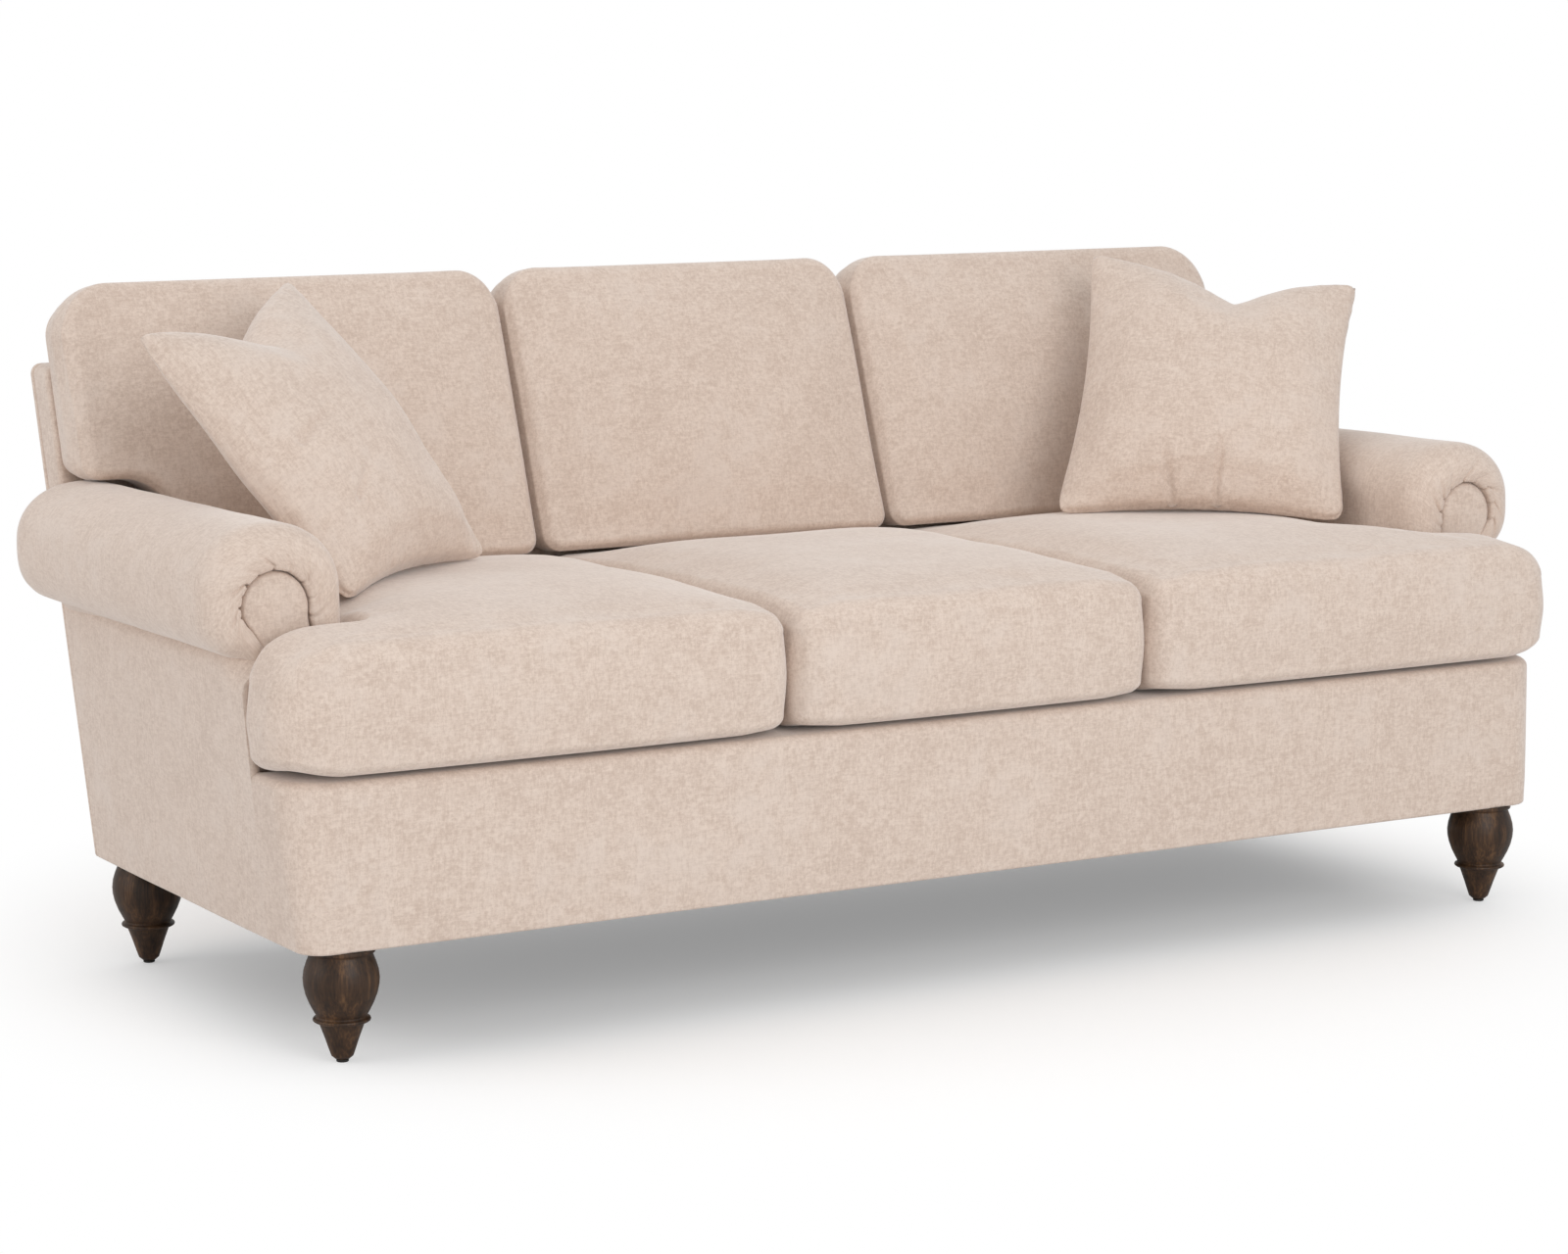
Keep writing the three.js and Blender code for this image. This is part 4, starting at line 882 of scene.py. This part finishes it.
# The front border: level outlines that flare upwards, from a rounded hem to a rounded lip
def makeBorder():
    b = baseShape
    bottom, hem, top, lip, turns = b["bottom"], b["hem"], b["top"], b["lip"], list(zip(*quarterTurn(8)))
    levels = [(bottom, hem + extra) for extra in b["closing"]]
    levels += [(bottom + hem * rising, hem * falling) for falling, rising in turns]
    levels += [(z, 0) for z in np.linspace(bottom + hem, top - lip, 22)[1:-1]]
    levels += [(top - lip * falling, lip * rising) for falling, rising in turns]
    levels += [(top, lip + extra) for extra in b["closing"][::-1]]
    grid = np.stack([borderOutline(z, inset) for z, inset in levels])
    y, z = grid[..., 1], grid[..., 2]
    face = smoothStep(-y, *b["unevenFront"]) * smoothStep(z, *b["unevenFoot"]) * (1 - smoothStep(z, *b["unevenTop"]))
    grid[..., 1] -= (unevenness(grid, 41, b["wave"]) * b["uneven"] + b["puff"]) * face
    pocketHalf = b["halfBottom"] - b["sidePad"]
    pocket = slab(
        (-pocketHalf, pocketHalf), b["frontY"] + b["skin"], b["pocketRear"], (b["pocketFoot"], b["lipUnder"]))
    mesh = carved("front_band", ringedSurface(grid, [0, b["poleY"], bottom], [0, b["poleY"], top]), [pocket])
    addPiece("front_band", mesh, upholstery, "front_border")


# Height of the roll's underside at a distance from the middle of the sofa
def rollUnderside(x):
    a = armShape
    across = np.clip((x - a["rollX"]) / a["halfWidth"], 0, 1) ** (2 / a["lowerPower"])
    under = a["rollZ"] - a["drop"] * (1 - across) ** (a["lowerPower"] / 2)
    return np.where(x > a["underX"], under, a["rollZ"] - a["drop"])


# The outside arm: a panel that continues the border's flare at its front, meets the back's straight side and closes
# up to the roll; under the roll's front end it leans in to the facing
def makeOutside(name, side):
    a, b, p, half = armShape, baseShape, panelShape, frameShape["half"]
    low = a["rollZ"] - a["drop"]
    falling, rising = quarterTurn(6)
    heights = np.concatenate([b["bottom"] + b["hem"] * rising, tightEnds(b["bottom"] + b["hem"], low, 36)[3:]])
    insets = np.concatenate([b["hem"] * falling, np.zeros(len(heights) - len(falling))])
    rear = rearY(heights) - b["skin"] - frameShape["clear"]
    share = tightEnds(0, rear[0] - b["seamY"], 64) / (rear[0] - b["seamY"])
    y = b["seamY"] + b["seamGap"] + (rear - b["seamY"])[:, None] * share
    front = 1 - smoothStep(y, b["seamY"], a["frontY"] + a["endLength"])
    lift = (rollUnderside(lerp(flare(low), half, share)) - low + p["lift"])[None] * (1 - front)
    z = heights[:, None] + (lift + p["frontLift"] * front) * smoothStep(heights, p["liftFrom"], low)[:, None]
    out = lerp(flare(z), half, share[None]) + np.sin(np.pi * share) * p["swell"] * smoothStep(z, *p["swellFoot"])
    uneven = unevenness(np.stack([out, y, z], axis=-1), 51 + side, p["wave"]) * b["uneven"]
    out = out + uneven * np.sin(np.pi * share)
    out = lerp(out, np.minimum(out, a["stemOuter"] + p["leanOut"]), front * smoothStep(z, *p["leanZ"]))
    groove = b["groove"] * smoothStep(heights, *[low - under for under in p["grooveUnder"]])
    face, inside = (np.stack([x, y, z], axis=-1) for x in (out - (insets + groove)[:, None], out - b["pad"]))
    addPadded(f"outside_panel_{name}", panelFrom(face, inside), f"outside_arm_{name}", side)


# A level outline of the raked back: a rectangle with rounded corners, always with the same number of points
def backOutline(half, front, back, radius):
    angle, mirror = np.linspace(0, np.pi / 2, 6), np.array([-1, 1])
    depth = straightTo((half, front + radius), (half, back - radius), 5)[1:]
    bend = np.stack([half - radius + radius * np.cos(angle), back - radius + radius * np.sin(angle)], axis=1)
    rear = straightTo(bend[-1], bend[-1] * mirror, 120)[1:]
    entry = np.stack([half - radius + radius * np.sin(angle), front + radius - radius * np.cos(angle)], axis=1)
    front = straightTo(entry[0] * mirror, entry[0], 120)[1:]
    return np.concatenate([
        entry, depth, bend, rear, bend[::-1] * mirror, depth[::-1] * mirror, entry[::-1] * mirror, front])


# The raked back as level outlines, drawn in over a rounded top; the foot is rows of (height, half width)
def rakedRings(front, back, foot, radius, steps):
    top, edge, halfFoot = frameShape["top"], frameShape["edge"], foot[-1][1]
    levels = list(foot)
    levels += [(z, halfFoot) for z in np.linspace(foot[-1][0], top - edge, steps)[1:-1]]
    levels += [(top - edge * falling, halfFoot - edge * rising) for falling, rising in zip(*quarterTurn(8))]
    return np.stack([atHeight(backOutline(half, front(z), back(z), radius), z) for z, half in levels])


# The padded inside back, hollow behind for the frame, and the panel behind it, which swells a little outwards
def makeBack():
    f, rolls = frameShape, armShape["rollZ"] - armShape["drop"]
    half, top, foot = f["half"], f["top"], f["insideFoot"]

    def panelFront(z):
        return rearY(z) - f["panel"]

    def padRear(z):
        return rearY(z) - (f["panel"] + f["clear"])

    between = half - baseShape["pad"] - f["clear"]
    levels = [(foot, between), (rolls - 0.4, between), (rolls, half)]
    grid = rakedRings(frameFrontY, padRear, levels, f["insideCorner"], 26)
    low, high = ([0, frameFrontY(z) + behind, z] for z, behind in zip((foot, top), f["insidePoles"]))
    surface = ringedSurface(grid, low, high)
    pocketX, pocketZ = (-f["pocketHalf"], f["pocketHalf"]), np.array(f["pocketHeights"])
    pocket = slab(pocketX, frameFrontY(pocketZ) + f["pad"], rearY(pocketZ) + f["pocketRear"], pocketZ)
    mesh = carved("inside_back_pad", surface, [pocket])
    addPiece("inside_back_pad", mesh, upholstery, "inside_back")

    levels = [(z, half - inset) for z, inset in f["hem"]]
    bottom = levels[0][0]
    grid = rakedRings(panelFront, rearY, levels, f["outsideCorner"], 34)
    x, y, z = grid[..., 0], grid[..., 1], grid[..., 2]
    swell = np.sin(np.pi * np.clip((z - bottom) / (top - bottom), 0, 1)) * np.cos(x / half * np.pi / 2)
    outer = smoothStep(y - rearY(z), -4, -1)
    grid[..., 1] += (unevenness(grid, 61, f["wave"]) * f["uneven"] + f["swell"]) * swell * outer
    low, high = ([0, rearY(z) - f["outsidePole"], z] for z in (bottom, top))
    addPadded("outside_back_panel", ringedSurface(grid, low, high), "outside_back")


# Legs

legShape = {
    "spread": 930, "rearY": 642,
    "profile": (
        (0, 3.3), (7, 3.3), (9.5, 4.2), (14, 8), (17.5, 18), (22.5, 33), (28.6, 49.6), (29.8, 52), (34.6, 52.8),
        (36.4, 54), (36.9, 55.6), (36.2, 57.2), (33.8, 58.4), (32.4, 60.2), (33.4, 62.6), (36.4, 68), (41.2, 77.5),
        (45.6, 89), (48, 100), (48.6, 109), (47.4, 119), (44.4, 129), (41.4, 136.5), (40.2, 140.2), (40.8, 141.6),
        (43.4, 142.6), (44, 144.2), (44, 147.7), (28, 147.7), (28, 149.8), (4.3, 149.8), (4.3, 104.8), (0, 104.8)),
    "glide": ((0, 0), (7.2, 0), (8, 0.6), (8, 2.6), (7.6, 3), (0, 3)),
}


# A profile of (radius, height) turned round the leg's axis; each stretch is split so that its curve stays smooth
def turned(profile, x, y, sides=56):
    knots = np.array(profile, float)[1:-1]
    steps = np.linspace(0, len(knots) - 1, (len(knots) - 1) * 3 + 1)
    r, z = (np.interp(steps, np.arange(len(knots)), knots[:, k]) for k in (0, 1))
    around = np.linspace(0, 2 * np.pi, sides, endpoint=False)
    across, back = x + r[:, None] * np.cos(around), y + r[:, None] * np.sin(around)
    rings = np.stack([across, back, np.repeat(z[:, None], sides, axis=1)], axis=-1)
    return ringedSurface(rings, [x, y, profile[0][1]], [x, y, profile[-1][1]])


# Four legs turned from one profile, each with a nylon glide under it
def makeLegs():
    s = legShape
    for end, y in (("front", 0), ("rear", s["rearY"])):
        for name, side in bothSides:
            corner, x = f"{end}_{name}", side * s["spread"]
            mesh = meshFrom(f"leg_{corner}", turned(s["profile"], x, y))
            addPiece(f"turned_leg_{corner}", mesh, walnut, f"leg_{corner}")
            mesh = meshFrom(f"glide_{corner}", turned(s["glide"], x, y, 32))
            addPiece(f"glide_{corner}", mesh, nylon, f"floor_glide_{corner}")


# Throw pillows

pillowShape = {
    "width": 421, "height": 455, "thickness": 150, "pull": 16, "footPull": 22, "dent": 57, "dentShare": 0.33,
    "dentPlace": 0.1, "centre": (748, 432, 739), "turn": 36.0, "lean": 38.0, "roll": -4.2, "seam": 3, "tipTop": 7,
    "tipFoot": 14, "ripple": 0.7, "rippleReach": 14, "rippleStep": 5.2, "rippleDrift": 31, "rippleHalf": 210,
    "uneven": 2.2, "wave": 150, "pole": 1.5, "perSide": 110, "rings": 51, "crowding": 1.5,
}
pillowCloth = (2.0, 0.02, 5)
# How far each corner lies from the even form, across and up: lower inner, lower outer, upper outer, upper inner
pillowCorners = {
    "left": ((7, -16), (2, 3), (36, -3), (-4, 20)),
    "right": ((-16, -19), (9, 5), (0, -10), (-3, 15)),
}
# Creases that run in from the seam: start and end, as shares of the half sizes, their depth and width
pillowCreases = {
    "left": (
        ((0.35, -0.97), (0.3, -0.62), 1.6, 9), ((0.74, -0.04), (0.3, 0.08), 9, 6.5),
        ((0.56, -0.5), (0.2, -0.3), 8, 6.5)),
    "right": (((-0.2, -0.99), (-0.3, -0.7), 13, 6), ((0.1, -0.99), (0.09, -0.58), 13, 5.5)),
}


# Knife-edged pillow: both faces swell as the root of their distance from the edges, the sides draw in between the
# corners, the top edge is dented, and the cloth ripples along the seam
def makePillow(name, side):
    s = pillowShape
    turn, lean, roll = (np.radians(s[k]) for k in ("turn", "lean", "roll"))
    facing = np.array([-np.sin(turn) * np.cos(lean), -np.cos(turn) * np.cos(lean), np.sin(lean)])
    level = np.array([np.cos(turn), -np.sin(turn), 0])
    up = np.cross(facing, level)
    across = level * np.cos(roll) + np.cross(facing, level) * np.sin(roll)
    upward = up * np.cos(roll) + np.cross(facing, up) * np.sin(roll)

    # squares one inside another on each face, u across and v up from -1 to 1
    edge, one = np.linspace(-1, 1, s["perSide"] + 1)[:-1], np.ones(s["perSide"])
    square = np.concatenate([
        np.stack([edge, -one], 1), np.stack([one, edge], 1), np.stack([-edge, one], 1), np.stack([-one, -edge], 1)])
    shares = 1 - np.linspace(0, 1, s["rings"] + 1)[:-1] ** s["crowding"]
    face = np.concatenate([-np.ones(len(shares)), np.ones(len(shares))])[:, None]
    uv = square[None] * np.concatenate([shares[::-1], shares])[:, None, None]
    u, v = uv[..., 0], uv[..., 1]
    x = u * (s["width"] / 2 - s["pull"] * (1 - v * v))
    dent = np.where(v > 0, s["dent"] * v * v, 0) * np.exp(-np.abs((u - s["dentPlace"]) / s["dentShare"]) ** 1.3)
    y = v * (s["height"] / 2 - np.where(v > 0, s["pull"], s["footPull"]) * (1 - u * u)) - dent
    fullness = np.sqrt(np.maximum(0, (1 - u * u) * (1 - v * v)))
    depth = s["seam"] / 2 + s["thickness"] / 2 * fullness
    for (du, dv), (cu, cv) in zip(pillowCorners[name], ((-1, -1), (1, -1), (1, 1), (-1, 1))):
        pull = np.clip((1 + u * cu) / 2, 0, 1) ** 2 * np.clip((1 + v * cv) / 2, 0, 1) ** 2
        x, y = x + du * pull, y + dv * pull
    tip = np.where(v > 0, s["tipTop"], s["tipFoot"]) * (u * v) ** 10
    local = np.stack([x - tip * np.sign(u), y - tip * np.sign(v), depth * face], axis=-1)
    for start, end, deep, wide in pillowCreases[name]:
        start, run = np.array(start), np.array(end) - np.array(start)
        along = np.clip(((uv - start) @ run) / (run @ run), 0, 1)
        off = np.linalg.norm((uv - start - along[..., None] * run), axis=-1) * s["width"] / 2
        local[..., 2] -= np.where(face > 0, deep * np.exp(-(off / wide) ** 2) * (1 - along) ** 0.5, 0)
    near = np.minimum(1 - np.abs(u), 1 - np.abs(v)) * s["rippleHalf"]
    run = np.where(np.abs(u) > np.abs(v), v, u) * s["rippleHalf"]
    ripple = np.sin(run / s["rippleStep"] + 3 * np.sin(run / s["rippleDrift"]))
    ripple = ripple * np.exp(-(near / s["rippleReach"]) ** 2) * np.minimum(near / 4, 1)
    uneven = unevenness(local, 71 + side, s["wave"]) * s["uneven"] * fullness
    local[..., 2] += (ripple * s["ripple"] + uneven) * face

    def place(p):
        return np.array(s["centre"]) + p[..., :1] * across + p[..., 1:2] * upward + p[..., 2:] * facing

    first, last = (np.array([0, 0, way * (s["thickness"] / 2 + s["pole"])]) for way in (-1, 1))
    surface = ringedSurface(place(local), place(first), place(last))
    pillow = addPadded(
        f"pillow_{name}", surface, f"throw_pillow_{name}", side, f"{name}_pillow", stacked(local, first, last))
    settle(pillow, *pillowCloth)


for name, side in bothSides:
    makeArm(name, side)
    makeFacing(name, side)
    makeOutside(name, side)
    makePillow(name, side)
makeBorder()
makeBack()
makeLegs()
print("arms, base, back, legs and pillows made")


# Hidden structure

keptFinish = {  # the rails, posts, springs and bolts keep their CAD shape; planks are listed by the grain's axis
    "front_rail": planks[0], "rear_rail": planks[0], "back_top_rail": planks[0], "back_lower_rail": planks[0],
    "corner_block": planks[0], "side_rail": planks[1], "centre_rail": planks[1], "arm_board": planks[1],
    "arm_post": planks[2], "back_post": planks[2], "seat_spring": wire, "leg_bolt": wire,
}
for node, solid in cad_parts.items():
    for start, material in keptFinish.items():
        if node.startswith(start):
            giveMaterial(solid.data, material)

deckShape = {
    "half": 905, "front": 80.3, "rear": 689.8, "bottom": 359.6, "top": 367.6, "edge": 3.5, "corner": 12, "step": 14,
    "dip": 0.7, "dipRows": (15, 8), "uneven": 0.35, "wave": 170,
}


# The deck over the springs: a flat felt pad with a quarter-round edge above and below
def makeDeck():
    d = deckShape
    half, front, rear, corner = d["half"], d["front"], d["rear"], d["corner"]
    points, ways = roundedOutline(
        ((-half, rear, corner), (-half, front, corner), (half, front, corner), (half, rear, corner)), d["step"])
    low, high = (np.array([0.0, (front + rear) / 2, level]) for level in (d["bottom"], d["top"]))
    falling, rising = quarterTurn(6)
    drawnIn = d["edge"] * np.concatenate([falling, rising])
    height = np.concatenate([d["bottom"] + d["edge"] * rising, d["top"] - d["edge"] * falling])
    rim = [atHeight(points - ways * inset, z) for inset, z in zip(drawnIn, height)]
    shares = np.linspace(0, 1, 16)[1:-1]
    above = [lerp(rim[-1], high, share) for share in shares]
    below = [lerp(rim[0], low, share) for share in shares[::-1]]
    grid = np.stack(below + rim + above)
    dip = smoothStep(np.arange(len(grid)), *[len(grid) - row for row in d["dipRows"]])[:, None]
    grid[..., 2] -= (unevenness(grid, 81, d["wave"]) * d["uneven"] + d["dip"]) * dip
    mesh = meshFrom("deck", ringedSurface(grid, low, high - [0, 0, d["dip"]]))
    addPiece("seat_deck_pad", mesh, felt, "seat_deck")


coverShape = {
    "half": 966.7, "front": -27.7, "rear": 675.5, "level": 149.6, "thickness": 1.2, "sag": 3.5, "notch": 31.5,
    "ripple": 110, "beyond": 30, "cutHeights": (120.0, 170.0),
}


# The dust cover under the frame: a sheet stapled round its edge, hanging a little between, cut out at the legs
def makeDustCover():
    c, spread, legRear = coverShape, legShape["spread"], legShape["rearY"]
    half, front, rear, notch, beyond = (c[key] for key in ("half", "front", "rear", "notch", "beyond"))
    x = np.linspace(-half, half, 121)[:, None]
    y = np.linspace(front, rear, 49)[None]
    across = 1 - (x / half) ** 6
    along = np.sin(np.pi * (y - front) / (rear - front))
    sag = c["sag"] * across * along * (1 + 0.25 * np.cos(x / c["ripple"]) * along)
    top = np.stack(np.broadcast_arrays(x, y, c["level"] - sag), axis=-1)
    low = top - np.array([0, 0, c["thickness"]])
    cuts = []
    for _, side in bothSides:
        xs = sorted((side * (spread - notch), side * (half + beyond)))
        cuts += [slab(xs, *ys, c["cutHeights"]) for ys in ((front - beyond, notch), (legRear - notch, rear + beyond))]
    mesh = carved("dust_sheet", panelFrom(top, low), cuts)
    sheet = addPiece("dust_sheet", mesh, dustCloth, "dust_cover")
    width, length = 2 * half * mm, (rear - front) * mm
    cutAway = 2 * (half - spread + notch) * mm * ((notch - front) + (rear - legRear + notch)) * mm
    width * length - cutAway


makeDeck()
makeDustCover()
print("deck and dust cover made")


# Camera, floor and light

cameraPlace = {"place": (-3031.35, -4605.43, 1303.93), "yaw": 30.858, "down": 8.463, "lens": 93.818, "sensor": 36}
floorLook = {"size": 40, "below": 0.0005, "grey": 0.8, "lift": 0.24, "fade": (0.8, 1.35)}  # metres; white beyond
worldStrength = 0.695
lampAim = (0, 0, 0.45)
lamps = (  # where, how wide, how strong and its colour
    ("key", (-0.3, -4.6, 2.0), 3.2, 70, (1, 1, 1)),
    ("side", (-4.3, 0.3, 1.5), 3.0, 25, (1, 0.95, 0.92)),
    ("top", (-0.3, 0.6, 3.4), 3.0, 12, (1, 1, 1)),
)
white = (1, 1, 1, 1)


# The photograph's viewing angle: turned by yaw and tilted down
def makeCamera():
    c = cameraPlace
    camera = newObject("camera", bpy.data.cameras.new("camera"))
    camera.location = toSofa(c["place"])
    camera.rotation_euler = Euler(np.radians([90 - c["down"], 0, -c["yaw"]]))
    camera.data.lens, camera.data.sensor_width, camera.data.clip_end = c["lens"], c["sensor"], 200
    bpy.context.scene.camera = camera


# The floor: matt with a slight glow near the sofa, plain white beyond it, and only matt for rays not from the camera
def makeFloor():
    look = floorLook
    f = Finish(bpy.data.materials.new("floor"))
    away = f.node("ShaderNodeVectorMath", {"operation": "LENGTH"}, {0: f.objectPlace()}, output=1)
    matt = f.node("ShaderNodeBsdfDiffuse", None, {"Color": (*[look["grey"]] * 3, 1)})
    glow, plain = (
        f.node("ShaderNodeEmission", None, {"Color": white, "Strength": power}) for power in (look["lift"], 1.0))
    lifted = f.node("ShaderNodeAddShader", None, {0: matt, 1: glow})
    near = f.mixed(f.between(away, *look["fade"]), lifted, plain)
    shown = f.mixed(f.node("ShaderNodeLightPath"), matt, near)
    corners = [(x * look["size"], y * look["size"], 0) for x, y in ((-1, -1), (1, -1), (1, 1), (-1, 1))]
    mesh = bpy.data.meshes.new("floor")
    mesh.from_pydata(corners, [], [[0, 1, 2, 3]])
    mesh.materials.append(f.done(shown))
    floor = newObject("floor", mesh)
    floor.location.z = -look["below"]


# An even white world, which the camera sees at full white, and three round area lamps that look at the sofa
def makeLights():
    w = Finish(bpy.data.worlds.new("studio"))
    light, seen = (
        w.node("ShaderNodeBackground", None, {"Color": white, "Strength": power}) for power in (worldStrength, 1.0))
    shown = w.mixed(w.node("ShaderNodeLightPath"), light, seen)
    bpy.context.scene.world = w.done(shown, "ShaderNodeOutputWorld")
    for name, place, size, power, colour in lamps:
        lamp = newObject(name, bpy.data.lights.new(name, "AREA"))
        lamp.data.shape, lamp.data.size, lamp.data.energy = "DISK", size, power
        lamp.data.color = colour
        lamp.location = place
        aim = np.array(lampAim) - np.array(place)
        tilt, turn = np.arctan2(np.hypot(*aim[:2]), -aim[2]), np.arctan2(aim[0], -aim[1]) + np.pi
        lamp.rotation_euler = Euler((float(tilt), 0, float(turn)))


makeCamera()
makeFloor()
makeLights()
bpy.context.scene.view_settings.view_transform = "Standard"
